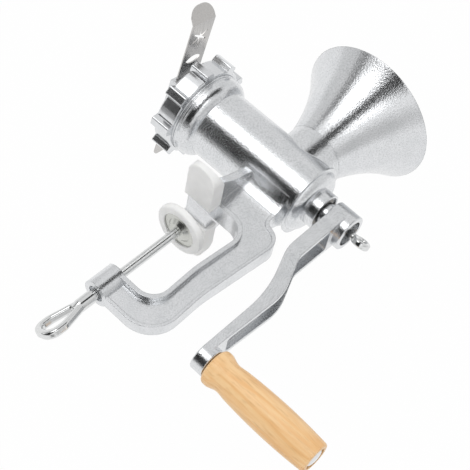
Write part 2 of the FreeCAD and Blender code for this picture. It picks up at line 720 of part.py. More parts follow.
def foot_bar():
    """Make the bar that carries both feet, with a top that falls towards its rounded ends."""
    plan = slab("foot_plan", "XY_Plane", "cap_floor", "foot_top - cap_floor", [
        ("foot_front", "foot_reach", "foot_round"),
        ("foot_front", "-foot_reach", "foot_round"),
        ("foot_rear", "-foot_reach", "foot_round"),
        ("foot_rear", "foot_reach", "foot_round"),
    ])
    side = slab("foot_side", "YZ_Plane", "foot_front", "foot_rear - foot_front", mirrored([
        ("foot_reach", "cap_floor"),
        ("foot_reach", "foot_tip_top"),
        ("foot_slope_start", "foot_top"),
    ]))
    return common("foot_bar", plan, side)


def clamp_boss():
    return turned("clamp_boss", "Z", [
        ("0", "arm_bottom"),
        ("clamp_boss_radius", "arm_bottom"),
        ("clamp_boss_radius", "gap_bottom + clamp_boss_rise"),
        ("0", "gap_bottom + clamp_boss_rise"),
    ])


def clamp_hole():
    return turned("clamp_hole", "Z", [
        ("0", "arm_bottom - overrun"),
        ("clamp_recess_radius", "arm_bottom - overrun"),
        ("clamp_recess_radius", "arm_bottom + clamp_recess_depth"),
        ("rod_radius + running_fit", "arm_bottom + clamp_recess_depth"),
        ("rod_radius + running_fit", "gap_bottom + clamp_boss_rise + overrun"),
        ("0", "gap_bottom + clamp_boss_rise + overrun"),
    ])


PLATE_FRONT = "head_front - plate_proud"
PLATE_BACK = f"{PLATE_FRONT} + plate_thickness"
KEY_PLACE = f"{PLATE_FRONT} + plate_thickness / 2"


def key_pin(name):
    """Make the pin that stops the grinding plate, also used to cut its hole."""
    body = turned(name, "Z", [
        ("0", "-key_outer"),
        ("key_radius", "-key_outer"),
        ("key_radius", "-key_inner"),
        ("0", "-key_inner"),
    ])
    place(body, x=KEY_PLACE, z="axis_height")
    return body


SEAM_TOLERANCE = 0.05


def on_hopper_seam(edge, tested_points=5):
    """Tell whether an edge lies where the hopper's neck meets the barrel."""
    for point in edge.discretize(tested_points):
        from_hopper = math.hypot(point.x - number("hopper_place"), point.y)
        from_barrel = math.hypot(point.y, point.z - number("axis_height"))
        off_hopper = abs(from_hopper - number("neck_radius"))
        off_barrel = abs(from_barrel - number("barrel_radius"))
        if max(off_hopper, off_barrel) > SEAM_TOLERANCE:
            return False
    return True


def block(name, low, high):
    """Make a block between two heights, wide enough for the whole casting."""
    feature = doc.addObject("Part::Box", name)
    bind(feature, Length="stock", Width="stock", Height=f"({high}) - ({low})")
    place(feature, x="-stock / 2", y="-stock / 2", z=low)
    return feature


def casting():
    """Make the one-piece casting, then cut it at two flat planes into three nodes."""
    solids = [barrel_blank(), hopper_blank(), frame_flange(), pedestal(), foot_bar(), clamp_boss()]
    outside = fuse("casting_outside", *solids, *frame_web())
    doc.recompute()
    seam = [row for row, edge in enumerate(outside.Shape.Edges, start=1) if on_hopper_seam(edge)]
    blended = doc.addObject("Part::Fillet", "casting_blended")
    blended.Base = outside
    blended.Edges = [(row, number("hopper_fillet"), number("hopper_fillet")) for row in seam]
    tools = fuse("casting_tools", barrel_bore(), hopper_bore(), clamp_hole(), key_pin("key_hole"))
    whole = cut("casting_whole", blended, tools)
    hopper_low = "axis_height + head_radius + cut_margin"
    frame_high = "axis_height - head_radius - cut_margin"
    keep("hopper", common("hopper", whole, block("hopper_block", hopper_low, "stock")))
    keep("barrel", common("barrel", whole, block("barrel_block", frame_high, hopper_low)))
    keep("clamp_frame", common("clamp_frame", whole, block("frame_block", "-stock", frame_high)))


def foot_cap(name, side):
    """Make a tray-shaped cap that sits on one end of the foot bar; side is -1 near and 1 far."""
    front = "foot_front - cap_wall"
    rear = "foot_rear + cap_wall"
    reach = f"{side} * (foot_reach + cap_wall)"
    inner = f"{side} * cap_inner_end"
    plan = slab(f"{name}_plan", "XY_Plane", "0", "foot_top", [
        (front, inner),
        (front, reach, "foot_round + cap_wall"),
        (rear, reach, "foot_round + cap_wall"),
        (rear, inner),
    ])
    round_edges(plan, "cap_edge_round", lambda edge: edge.BoundBox.ZMax < number("cap_edge_round") / 2)
    fall = "(foot_top - foot_tip_top) / (foot_reach - foot_slope_start)"
    side_view = slab(f"{name}_side", "YZ_Plane", front, f"{rear} - ({front})", [
        (inner, "0"),
        (reach, "0"),
        (reach, f"foot_tip_top - cap_wall * {fall}"),
        (f"{side} * foot_slope_start", "foot_top"),
        (inner, "foot_top"),
    ])
    seat = slab(f"{name}_seat", "XY_Plane", "cap_floor", "foot_top", [
        ("foot_front", "0"),
        ("foot_front", f"{side} * foot_reach", "foot_round"),
        ("foot_rear", f"{side} * foot_reach", "foot_round"),
        ("foot_rear", "0"),
    ])
    keep(name, cut(name, common(f"{name}_tray", plan, side_view), seat))


# Bearing


def rear_bush():
    inner = "journal_radius + running_fit"
    body = turned("rear_bush", "X", tube_corners("end_wall", "bush_end", inner, "bush_radius"))
    place(body, z="axis_height")
    keep("rear_bush", body)


def thrust_washer():
    inner = "journal_radius + washer_play"
    front = "end_wall - washer_thickness"
    body = turned("thrust_washer", "X", tube_corners(front, "end_wall", inner, "washer_radius"))
    place(body, z="axis_height")
    keep("thrust_washer", body)


# Auger and what it drives

CORE_FRONT = "bore_front + core_end_gap"
CORE_REAR = "end_wall - washer_thickness - washer_play"
DRIVE_FRONT = f"{CORE_FRONT} - square_length"


def shank_corners(fit):
    """Return the two-flat outline of the crank's shank, with play."""
    flat = f"(shank_flat_half + {fit})"
    edge = f"sqrt((shank_radius + {fit})^2 - {flat}^2)"
    return [(f"-{edge}", f"-{flat}"), (edge, f"-{flat}"), (edge, flat), (f"-{edge}", flat)]


def shank_bows(fit):
    return {1: f"shank_radius + {fit}", 3: f"shank_radius + {fit}"}


def auger():
    """Make the feed auger: tapered core, helical flight, square drive in front and flatted shank behind."""
    body = turned("auger", "X", [
        (CORE_FRONT, "0"),
        (CORE_FRONT, "core_front_radius"),
        (f"{CORE_REAR} - collar_length", "core_rear_radius"),
        (f"{CORE_REAR} - collar_length", "washer_radius"),
        (CORE_REAR, "washer_radius"),
        (CORE_REAR, "journal_radius"),
        ("journal_end", "journal_radius"),
        ("journal_end", "0"),
    ])
    flight = sketch_on(body, "XZ_Plane")
    middle = f"{CORE_FRONT} + flight_start_gap"
    tip = "bore_radius - flight_gap"
    root = "core_front_radius / 2"
    outline(flight, [
        (f"{middle} - flight_root_half", root),
        (f"{middle} + flight_root_half", root),
        (f"{middle} + flight_tip_half", tip),
        (f"{middle} - flight_tip_half", tip),
    ])
    helix = body.newObject("PartDesign::AdditiveHelix", "auger_flight")
    helix.Profile = flight
    helix.ReferenceAxis = (flight, ["H_Axis"])
    helix.Mode = "pitch-height-angle"
    helix.LeftHanded = True
    bind(helix, Pitch="flight_pitch", Height="flight_length")
    drive = sketch_on(body, "YZ_Plane", DRIVE_FRONT)
    outline(drive, box_corners("square_half", "square_half"))
    pad(body, drive, "square_length")
    shank = sketch_on(body, "YZ_Plane", "journal_end")
    outline(shank, shank_corners("0"), right_bows=shank_bows("0"))
    pad(body, shank, "shank_end - journal_end")
    stud_hole = sketch_on(body, "YZ_Plane", f"{DRIVE_FRONT} + stud_depth")
    circle(stud_hole, "0", "0", "stud_radius")
    pocket(body, stud_hole, "stud_depth + overrun")
    thumb_hole = sketch_on(body, "YZ_Plane", "shank_end")
    circle(thumb_hole, "0", "0", "thumb_radius + running_fit")
    pocket(body, thumb_hole, "thumb_reach + thumb_hole_extra")
    place(body, z="axis_height")
    keep("auger", body)


def knife_stud():
    body = turned("knife_stud", "X", [
        (f"{PLATE_FRONT} + stud_tip_gap", "0"),
        (f"{PLATE_FRONT} + stud_tip_gap", "stud_radius"),
        (f"{DRIVE_FRONT} + stud_depth", "stud_radius"),
        (f"{DRIVE_FRONT} + stud_depth", "0"),
    ])
    place(body, z="axis_height")
    keep("knife_stud", body)


def cutting_knife():
    """Make the four-blade knife, each blade wider at its cutting face than at its back."""
    back = "bore_front - knife_gap"
    face = f"{back} - knife_thickness"
    blade_root = "(square_half + knife_hub_radius) / 2 + square_fit"
    body = turned("cutting_knife", "X", tube_corners(face, back, "square_half", "knife_hub_radius"))
    blade = sketch_on(body, "XY_Plane", blade_root)
    outline(blade, [
        (face, "-blade_edge_half"),
        (back, "-blade_back_half"),
        (back, "blade_back_half"),
        (face, "blade_edge_half"),
    ])
    blade_pad = pad(body, blade, f"knife_reach - ({blade_root})")
    repeat(body, blade_pad, "X_Axis", "blade_count")
    hole = sketch_on(body, "YZ_Plane", back)
    outline(hole, box_corners("square_half + square_fit", "square_half + square_fit"))
    pocket(body, hole, "knife_thickness")
    place(body, z="axis_height")
    keep("cutting_knife", body)


def grinding_plate():
    """Make the plate with two rings of holes and a notch for its locating pin."""
    inner = "stud_radius + running_fit"
    body = turned("grinding_plate", "X", tube_corners(PLATE_FRONT, PLATE_BACK, inner, "plate_radius"))
    for ring in ("inner_ring", "outer_ring"):
        hole = sketch_on(body, "YZ_Plane", PLATE_BACK)
        circle(hole, "0", f"{ring}_radius", "plate_hole_radius")
        repeat(body, pocket(body, hole, "plate_thickness"), "X_Axis", f"{ring}_count")
    notch = sketch_on(body, "YZ_Plane", PLATE_BACK)
    side = "key_radius + key_fit"
    top = "-(key_inner - key_fit)"
    bottom = "-(plate_radius + overrun)"
    outline(notch, [(f"-({side})", bottom), (side, bottom), (side, top), (f"-({side})", top)])
    pocket(body, notch, "plate_thickness")
    place(body, z="axis_height")
    keep("grinding_plate", body)


def plate_locating_pin():
    keep("plate_locating_pin", key_pin("plate_locating_pin"))


# Outlet

NUT_LIP = f"{PLATE_FRONT} - guide_disc_thickness"
NUT_FRONT = f"{NUT_LIP} - nut_lip_thickness"


def ring_nut():
    """Make the ring nut with its lugs, its thread's clear bore and its front lip."""
    bore = "head_radius + nut_thread_gap"
    body = turned("ring_nut", "X", [
        ("nut_rear", bore),
        ("nut_rear", "nut_radius", "nut_edge_round"),
        (NUT_FRONT, "nut_radius", "nut_edge_round"),
        (NUT_FRONT, "nut_opening"),
        (NUT_LIP, "nut_opening"),
        (NUT_LIP, bore),
    ])
    lug = sketch_on(body, "YZ_Plane", NUT_FRONT)
    root = f"({bore} + nut_radius) / 2"
    outline(lug, [
        ("-lug_flank_half", root),
        ("lug_flank_half", root),
        ("lug_half", "lug_reach", "nut_edge_round"),
        ("-lug_half", "lug_reach", "nut_edge_round"),
    ])
    repeat(body, pad(body, lug, f"nut_rear - ({NUT_FRONT})"), "X_Axis", "lug_count")
    turn(body, FreeCAD.Vector(1, 0, 0), "lug_turn")
    place(body, z="axis_height")
    keep("ring_nut", body)


STRIP_SEAT = f"{NUT_LIP} - tower_rise"
STRIP_BACK = f"{STRIP_SEAT} - strip_play"
STRIP_FRONT = f"{STRIP_BACK} - strip_thickness"
TOWER_LIP_BACK = f"{STRIP_FRONT} - strip_play"


def guide_plate():
    """Make the disc under the nut and its tower, slotted for the forming strip."""
    body = turned("guide_plate", "X", [
        (NUT_LIP, "0"),
        (NUT_LIP, "guide_disc_radius"),
        (PLATE_FRONT, "guide_disc_radius"),
        (PLATE_FRONT, "0"),
    ])
    tower_front = f"{TOWER_LIP_BACK} - tower_lip"
    tower = sketch_on(body, "YZ_Plane", tower_front)
    outline(tower, box_corners("tower_half_length", "tower_half_width"))
    pad(body, tower, f"{NUT_LIP} - ({tower_front})")
    slot = sketch_on(body, "YZ_Plane", STRIP_SEAT)
    outline(slot, box_corners("tower_half_length + overrun", "strip_half_width + strip_play"))
    pocket(body, slot, f"{STRIP_SEAT} - ({TOWER_LIP_BACK})")
    mouth = sketch_on(body, "YZ_Plane", TOWER_LIP_BACK)
    outline(mouth, box_corners("tower_half_length + overrun", "lip_half_gap"))
    pocket(body, mouth, "tower_lip + overrun")
    passage = sketch_on(body, "YZ_Plane", PLATE_FRONT)
    outline(passage, box_corners("passage_half_length", "passage_half_width"))
    pocket(body, passage, "guide_disc_thickness + tower_rise")
    turn(body, FreeCAD.Vector(1, 0, 0), "guide_turn")
    place(body, z="axis_height")
    keep("guide_plate", body)


def shape_strip():
    """Make the forming strip with its bent tab and its row of cut shapes."""
    flat = slab("strip_flat", "YZ_Plane", STRIP_FRONT, "strip_thickness", [
        ("-strip_fold", "-strip_half_width"),
        ("strip_tail", "-strip_half_width", "strip_corner_round"),
        ("strip_tail", "strip_half_width", "strip_corner_round"),
        ("-strip_fold", "strip_half_width"),
    ])
    for ray in range(int(number("star_ray_count"))):
        cut_star_ray(flat, "-shape_first", ray)
    cut_leaf(flat, "-shape_first + shape_pitch")
    cut_slot(flat, "-shape_first + 2 * shape_pitch")
    cut_round(flat, "-shape_first + 3 * shape_pitch")
    cut_slot(flat, "-shape_first + 4 * shape_pitch")
    cut_leaf(flat, "-shape_first + 5 * shape_pitch")
    tab = slab("strip_tab", "YZ_Plane", "-strip_thickness", "strip_thickness", [
        ("0", "-strip_half_width"),
        ("-tab_length", "-strip_half_width", "tab_round"),
        ("-tab_length", "strip_half_width", "tab_round"),
        ("0", "strip_half_width"),
    ])
    turn(tab, FreeCAD.Vector(0, 0, -1), "tab_bend")
    place(tab, x=STRIP_BACK, y="-strip_fold")
    feature = fuse("shape_strip", flat, tab)
    turn(feature, FreeCAD.Vector(1, 0, 0), "guide_turn")
    place(feature, z="axis_height")
    keep("shape_strip", feature)


def cut_through_strip(body, draw, *arguments, **bows):
    """Cut a drawn shape through the strip."""
    sketch = sketch_on(body, "YZ_Plane", STRIP_BACK)
    draw(sketch, *arguments, **bows)
    pocket(body, sketch, "strip_thickness")


def cut_star_ray(body, along, ray):
    """Cut one tapered ray of the star."""
    angle = f"{ray} * 360 / star_ray_count"
    corners = []
    for reach, side in (
            ("0", "-star_ray_half"),
            ("star_reach", "-star_tip_half"),
            ("star_reach", "star_tip_half"),
            ("0", "star_ray_half")):
        across = f"{along} + {reach} * cos({angle}) - ({side}) * sin({angle})"
        up = f"{reach} * sin({angle}) + ({side}) * cos({angle})"
        corners.append((across, up))
    cut_through_strip(body, outline, corners)


def cut_leaf(body, along):
    ends = [(along, "-leaf_half_length"), (along, "leaf_half_length")]
    cut_through_strip(body, outline, ends, right_bows={0: "leaf_curve", 1: "leaf_curve"})


def cut_slot(body, along):
    """Cut a straight slot across the strip."""
    cut_through_strip(body, outline, [
        (f"{along} - slot_half_width", "-slot_half_length"),
        (f"{along} + slot_half_width", "-slot_half_length"),
        (f"{along} + slot_half_width", "slot_half_length"),
        (f"{along} - slot_half_width", "slot_half_length"),
    ])


def cut_round(body, along):
    cut_through_strip(body, circle, along, "0", "round_radius")


# Crank

GRIP_HEIGHT = "axis_height - crank_length"


def crank_arm_stock():
    """Make the arm without its channel, from its side outline and its tapered face."""
    side = slab("crank_side", "XZ_Plane", "0", "2 * crank_high_half", [
        ("crank_inner_high", "0"),
        ("crank_outer_high", "0"),
        ("crank_outer_high", "-crank_bend_high", "crank_edge_round"),
        ("crank_outer_knee", "-crank_knee_low", "crank_knee_round"),
        ("crank_outer_low", "-crank_length"),
        ("crank_inner_low", "-crank_length"),
        ("crank_inner_low", "-crank_bend_low", "crank_low_round"),
        ("crank_inner_high", "-crank_bend_high", "crank_high_round"),
    ], both=True)
    face = slab("crank_face", "YZ_Plane", "crank_inner_high", "crank_outer_knee - crank_inner_high", [
        ("-crank_high_half", "0"),
        ("-crank_low_half", "-crank_length"),
        ("crank_low_half", "-crank_length"),
        ("crank_high_half", "0"),
    ])
    return common("crank_stock", side, face)


def crank_channel():
    """Make the channel's space, which follows the arm's inner face at the floor's thickness."""
    low = "-(crank_length - channel_end_gap)"
    side = slab("channel_side", "XZ_Plane", "0", "2 * crank_high_half", [
        ("crank_inner_high + channel_floor", "-channel_start"),
        ("crank_outer_knee + overrun", "-channel_start"),
        ("crank_outer_knee + overrun", low),
        ("crank_inner_low + channel_floor", low),
        ("crank_inner_low + channel_floor", "-crank_bend_low", "crank_low_round - channel_floor"),
        ("crank_inner_high + channel_floor", "-crank_bend_high", "crank_high_round + channel_floor"),
    ], both=True)
    slope = "(crank_high_half - crank_low_half) / crank_length"
    high_half = f"crank_high_half - channel_wall - {slope} * channel_start"
    low_half = f"crank_low_half - channel_wall + {slope} * channel_end_gap"
    length = "crank_outer_knee + overrun - crank_inner_high"
    face = slab("channel_face", "YZ_Plane", "crank_inner_high", length, [
        (f"-({high_half})", "-channel_start", "channel_round"),
        (f"-({low_half})", low, "channel_round"),
        (low_half, low, "channel_round"),
        (high_half, "-channel_start", "channel_round"),
    ])
    return common("channel_space", side, face)


def crank_arm():
    """Make the cast crank arm: U-section arm, hub with a two-flat hole and recess, and end boss."""
    hub = turned("crank_hub", "X", [
        ("hub_inner", "0"),
        ("hub_inner", "hub_radius", "hub_round"),
        ("hub_outer", "hub_radius", "hub_round"),
        ("hub_outer", "0"),
    ])
    end_boss = turned("crank_end_boss", "X", [
        ("crank_inner_low", "0"),
        ("crank_inner_low", "end_boss_radius", "end_boss_round"),
        ("end_boss_face", "end_boss_radius", "end_boss_round"),
        ("end_boss_face", "0"),
    ])
    place(end_boss, z="-crank_length")
    channelled = cut("crank_channelled", crank_arm_stock(), crank_channel())
    whole = fuse("crank_whole", channelled, hub, end_boss)
    recess = turned("crank_recess", "X", [
        ("hub_recess_floor", "0"),
        ("hub_recess_floor", "hub_recess_radius"),
        ("hub_outer + overrun", "hub_recess_radius"),
        ("hub_outer + overrun", "0"),
    ])
    shank_hole = slab(
        "crank_shank_hole", "YZ_Plane", "hub_inner - overrun", "hub_recess_floor - hub_inner + 2 * overrun",
        shank_corners("crank_fit"), right_bows=shank_bows("crank_fit"))
    pin_hole = turned("crank_pin_hole", "X", [
        ("crank_inner_low - overrun", "0"),
        ("crank_inner_low - overrun", "pin_radius"),
        ("end_boss_face + overrun", "pin_radius"),
        ("end_boss_face + overrun", "0"),
    ])
    place(pin_hole, z="-crank_length")
    holes = fuse("crank_holes", recess, shank_hole, pin_hole)
    feature = cut("crank_arm", whole, holes)
    place(feature, z="axis_height")
    keep("crank_arm", feature)


def crank_washer():
    back = "hub_recess_floor"
    inner = "thumb_radius + crank_washer_play"
    front = f"{back} + crank_washer_thickness"
    body = turned("crank_washer", "X", tube_corners(back, front, inner, "crank_washer_radius"))
    place(body, z="axis_height")
    keep("crank_washer", body)


def thumb_screw():
    """Make the thumb screw: thread, collar, neck and a flattened eye to turn it by."""
    seat = "hub_recess_floor + crank_washer_thickness"
    shank = turned("thumb_shank", "X", [
        ("shank_end - thumb_reach", "0"),
        ("shank_end - thumb_reach", "thumb_radius"),
        (seat, "thumb_radius"),
        (seat, "thumb_collar_radius"),
        (f"{seat} + thumb_collar_thickness", "thumb_collar_radius"),
        (f"{seat} + thumb_collar_thickness", "thumb_neck_radius"),
        ("eye_place - eye_hole_radius - eye_round", "thumb_neck_radius"),
        ("eye_place - eye_hole_radius - eye_round", "0"),
    ])
    ring = new_body("thumb_eye")
    ring_sketch = sketch_on(ring, "XZ_Plane")
    circle(ring_sketch, "eye_place", "0", "eye_radius")
    circle(ring_sketch, "eye_place", "0", "eye_hole_radius")
    pad(ring, ring_sketch, "2 * eye_half", both=True)
    round_edges(ring, "eye_round", lambda edge: edge.BoundBox.YLength < number("eye_round") / 2)
    feature = fuse("thumb_screw", shank, ring)
    turn(feature, FreeCAD.Vector(-1, 0, 0), "eye_turn")
    place(feature, z="axis_height")
    keep("thumb_screw", feature)


GRIP_NEAR = "end_boss_face + grip_gap"
GRIP_FAR = f"{GRIP_NEAR} + grip_length"
PIN_HEAD_SEAT = f"{GRIP_FAR} - grip_recess_depth + grip_gap / 2"


def grip_pin():
    body = turned("grip_pin", "X", [
        ("crank_inner_low", "0"),
        ("crank_inner_low", "pin_radius"),
        (PIN_HEAD_SEAT, "pin_radius"),
        (PIN_HEAD_SEAT, "pin_head_radius"),
        (f"{PIN_HEAD_SEAT} + pin_head_thickness", "pin_head_radius", "pin_head_thickness / 2"),
        (f"{PIN_HEAD_SEAT} + pin_head_thickness", "0"),
    ])
    place(body, z=GRIP_HEIGHT)
    keep("grip_pin", body)


def grip():
    """Make the turned wooden grip: bead, groove, long swelling and a recess for the pin's head."""
    bore = "pin_radius + running_fit"
    body = turned("grip", "X", [
        (GRIP_NEAR, bore),
        (GRIP_NEAR, "grip_bead_radius", "grip_bead_round"),
        (f"{GRIP_NEAR} + grip_bead_length", "grip_bead_radius", "grip_bead_round"),
        (f"{GRIP_NEAR} + grip_groove_place", "grip_groove_radius", "grip_groove_round"),
        (f"{GRIP_NEAR} + grip_swell_start", "grip_swell_radius"),
        (GRIP_FAR, "grip_tail_radius"),
        (GRIP_FAR, "grip_recess_radius"),
        (f"{GRIP_FAR} - grip_recess_depth", "grip_recess_radius"),
        (f"{GRIP_FAR} - grip_recess_depth", bore),
    ], left_bows={4: "grip_swell_curve"})
    near_tail = number(f"{GRIP_FAR} - grip_recess_depth / 2")
    past_recess = number("grip_tail_radius + grip_recess_radius")
    round_edges(body, "grip_tail_round",
                lambda edge: edge.BoundBox.XMin > near_tail and edge.BoundBox.YLength > past_recess)
    place(body, z=GRIP_HEIGHT)
    keep("grip", body)


# Clamp

DISC_TOP = "pad_top - pad_roof"
DISH_DROP = "rod_head_thickness + 2 * head_play"


def pressure_pad():
    bottom = "pad_top - pad_thickness"
    body = turned("pressure_pad", "Z", [
        ("0", "pad_top"),
        ("pad_radius", "pad_top", "pad_edge_round"),
        ("pad_radius", bottom, "pad_edge_round"),
        ("disc_radius", bottom),
        ("disc_radius", DISC_TOP),
        ("0", DISC_TOP),
    ])
    keep("pressure_pad", body)


def pressure_disc():
    """Make the pressed disc, dished in the middle around the clamp screw's head."""
    hole = "rod_radius + running_fit"
    low = f"{DISC_TOP} - disc_thickness"
    body = turned("pressure_disc", "Z", [
        (hole, f"{DISC_TOP} - ({DISH_DROP})"),
        ("dish_inner_radius", f"{DISC_TOP} - ({DISH_DROP})"),
        ("dish_outer_radius", DISC_TOP),
        ("disc_radius", DISC_TOP),
        ("disc_radius", low),
        ("dish_outer_radius", low),
        ("dish_inner_radius", f"{low} - ({DISH_DROP})"),
        (hole, f"{low} - ({DISH_DROP})"),
    ])
    keep("pressure_disc", body)


def clamp_screw():
    head_top = f"{DISC_TOP} - head_play"
    head_low = f"{head_top} - rod_head_thickness"
    body = turned("clamp_screw", "Z", [
        ("0", "rod_foot"),
        ("rod_radius", "rod_foot"),
        ("rod_radius", head_low),
        ("rod_head_radius", head_low),
        ("rod_head_radius", head_top),
        ("0", head_top),
    ])
    keep("clamp_screw", body)


def loop_handle():
    """Make the loop handle: round neck on the screw's end and a flattened loop that widens downwards."""
    neck = turned("loop_neck", "Z", [
        ("0", "loop_top"),
        ("0", "loop_hole_top"),
        ("loop_half_thickness", "loop_hole_top"),
        ("loop_neck_radius", "loop_neck_end"),
        ("loop_neck_radius", "loop_top"),
    ])
    loop_outer = [
        ("loop_neck_radius", "loop_neck_end"),
        ("loop_half_width", "loop_wide_height", "loop_wide_round"),
        ("loop_half_width", "loop_bottom", "loop_round"),
    ]
    loop_inner = [
        ("loop_hole_top_half", "loop_hole_top", "loop_hole_top_round"),
        ("loop_half_width - loop_band", "loop_wide_height", "loop_wide_round"),
        ("loop_half_width - loop_band", "loop_bottom + loop_band", "loop_hole_round"),
    ]
    loop = slab("loop_band_body", "XZ_Plane", "0", "2 * loop_half_thickness", mirrored(loop_outer), both=True)
    hole = sketch_on(loop, "XZ_Plane")
    outline(hole, mirrored(loop_inner))
    pocket(loop, hole, "2 * loop_half_thickness + overrun", both=True)
    flat_limit = number("loop_edge_round / 2")
    top_limit = number("loop_neck_end - loop_edge_round")
    round_edges(loop, "loop_edge_round",
                lambda edge: edge.BoundBox.YLength < flat_limit and edge.BoundBox.ZMin < top_limit)
    socket = turned("loop_socket", "Z", [
        ("0", "rod_foot"),
        ("rod_radius", "rod_foot"),
        ("rod_radius", "loop_top + overrun"),
        ("0", "loop_top + overrun"),
    ])
    feature = cut("loop_handle", fuse("loop_whole", neck, loop), socket)
    turn(feature, FreeCAD.Vector(0, 0, 1), "loop_turn")
    keep("loop_handle", feature)


# Assembly


def write_parts():
    """Stop if anything in the document failed, then write every node as a STEP file."""
    doc.recompute()
    for feature in doc.Objects:
        if "Invalid" in feature.State or "Error" in feature.State:
            raise RuntimeError(f"{feature.Label} failed: {feature.State}")
    os.makedirs("parts", exist_ok=True)
    for name, feature in nodes.items():
        shape = feature.Shape
        if shape.isNull() or not shape.isValid() or shape.Volume <= 0:
            raise RuntimeError(f"{name} has no valid solid")
        shape.exportStep(f"parts/{name}.step")
        print(name, "solids", len(shape.Solids), "volume", round(shape.Volume, 1))


casting()
foot_cap("foot_cap_near", -1)
foot_cap("foot_cap_far", 1)
rear_bush()
thrust_washer()
auger()
knife_stud()
cutting_knife()
grinding_plate()
plate_locating_pin()
ring_nut()
guide_plate()
shape_strip()
crank_arm()
crank_washer()
thumb_screw()
grip_pin()
grip()
pressure_pad()
pressure_disc()
clamp_screw()
loop_handle()
write_parts()
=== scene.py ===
import math

import bmesh
import bpy
from mathutils import Matrix, Vector


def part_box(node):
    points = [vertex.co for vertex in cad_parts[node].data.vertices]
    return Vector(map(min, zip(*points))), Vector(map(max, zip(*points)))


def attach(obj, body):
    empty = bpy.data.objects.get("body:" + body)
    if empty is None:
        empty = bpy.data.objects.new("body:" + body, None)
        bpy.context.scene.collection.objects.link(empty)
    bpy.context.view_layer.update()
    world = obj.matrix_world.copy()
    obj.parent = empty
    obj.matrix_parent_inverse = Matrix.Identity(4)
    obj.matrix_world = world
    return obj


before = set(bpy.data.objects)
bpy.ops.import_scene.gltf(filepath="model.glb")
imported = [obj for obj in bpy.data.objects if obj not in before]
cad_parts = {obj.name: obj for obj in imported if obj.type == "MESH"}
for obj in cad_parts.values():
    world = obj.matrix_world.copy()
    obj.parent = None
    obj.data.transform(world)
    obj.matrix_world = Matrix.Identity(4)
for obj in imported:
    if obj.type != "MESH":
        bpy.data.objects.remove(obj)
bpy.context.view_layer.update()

bl_info = {
    "name": "Hand crank grinder looks",
    "version": (1, 0, 0),
    "blender": (4, 5, 0),
    "location": "3D View > Sidebar > Grinder",
    "description": "Dresses the packed hand crank grinder with threads, finishes and a photo stage",
    "category": "Object",
}

MM = 0.001

# Places read from the frame, in metres
HEAD_LOW, HEAD_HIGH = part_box("barrel")
GRIP_LOW, GRIP_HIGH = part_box("grip")
PLATE_LOW, PLATE_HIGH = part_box("grinding_plate")
LOOP_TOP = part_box("loop_handle")[1].z
DISC_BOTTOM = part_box("pressure_disc")[0].z
PIN_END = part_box("grip_pin")[1].x
HOPPER_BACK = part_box("hopper")[1].y
BARREL_AXIS = (PLATE_LOW.z + PLATE_HIGH.z) / 2
HEAD_RADIUS = (HEAD_HIGH.y - HEAD_LOW.y) / 2
GRIP_AXIS = (GRIP_LOW.z + GRIP_HIGH.z) / 2

# Sizes that the frame does not give
HEAD_LENGTH = 12.0 * MM
ROD_RADIUS = 2.95 * MM


def linear(hex_colour):
    """Turn an sRGB hex colour into linear red, green, blue and alpha."""
    channels = []
    for place in (0, 2, 4):
        value = int(hex_colour[place:place + 2], 16) / 255
        channels.append(value / 12.92 if value <= 0.04045 else ((value + 0.055) / 1.055) ** 2.4)
    return (*channels, 1.0)


def shaded(colour, share):
    """Return a colour darkened to a share of its brightness."""
    return tuple(channel * share for channel in colour[:3]) + (1.0,)


def colour_property(name, description, hex_colour):
    return bpy.props.FloatVectorProperty(
        name=name, description=description, subtype="COLOR", size=4, min=0, max=1,
        default=linear(hex_colour))


def length_property(name, description, millimetres):
    return bpy.props.FloatProperty(
        name=name, description=description, subtype="DISTANCE", unit="LENGTH", default=millimetres * MM,
        precision=5)


def angle_property(name, description, degrees):
    return bpy.props.FloatProperty(
        name=name, description=description, subtype="ANGLE", unit="ROTATION", default=math.radians(degrees))


def factor_property(name, description, value):
    return bpy.props.FloatProperty(
        name=name, description=description, subtype="FACTOR", min=0, max=1, default=value)


# Sizes and colours that a user would change


class GrinderFinish(bpy.types.PropertyGroup):
    """Colours and gloss of the grinder's materials."""

    cast_light: colour_property("Casting, bright", "Polished high spots of the cast aluminium", "E4E5E7")
    cast_dull: colour_property("Casting, dull", "Duller patches of the cast aluminium", "DADCDE")
    cast_roughness: factor_property("Casting roughness", "Roughness of the polished casting", 0.16)
    crank_roughness: factor_property("Crank roughness", "Roughness of the tumbled frame and crank arm", 0.22)
    steel: colour_property("Bright steel", "Plated steel of the screws", "E3E4E4")
    sheet: colour_property("Stainless sheet", "Rolled stainless of the forming strip", "C9C7C5")
    tool: colour_property("Tool steel", "Ground steel of the knife and plate", "A8A9AB")
    zinc: colour_property("Zinc", "Bright zinc on the pressure disc", "CDCEC9")
    bush: colour_property("Sintered bush", "Oiled sintered metal of the bearing bush", "8C8984")
    plastic: colour_property("White plastic", "Moulded caps and pad", "F8F8F7")
    wood_light: colour_property("Wood, light", "Early wood of the grip", "FAD19A")
    wood_dark: colour_property("Wood, dark", "Late wood of the grip", "F0BC7D")


class GrinderThreads(bpy.types.PropertyGroup):
    """Sizes of the threads and the rivet's dome, which the solids leave out."""

    head_pitch: length_property("Head pitch", "Advance of the nut's thread in one turn", 2.0)
    head_rise: length_property("Head rise", "Height of the thread on the barrel's head", 0.35)
    head_end_gap: length_property("Head thread end", "Plain stretch behind the head's thread", 0.4)
    rod_pitch: length_property("Rod pitch", "Advance of the clamp screw in one turn", 1.0)
    rod_rise: length_property("Rod rise", "Height of the thread on the clamp screw", 0.14)
    rivet_radius: length_property("Rivet radius", "Domed end of the pin in the grip's far end", 6.4)
    rivet_rise: length_property("Rivet rise", "Height of that dome above the pin's flat head", 1.9)


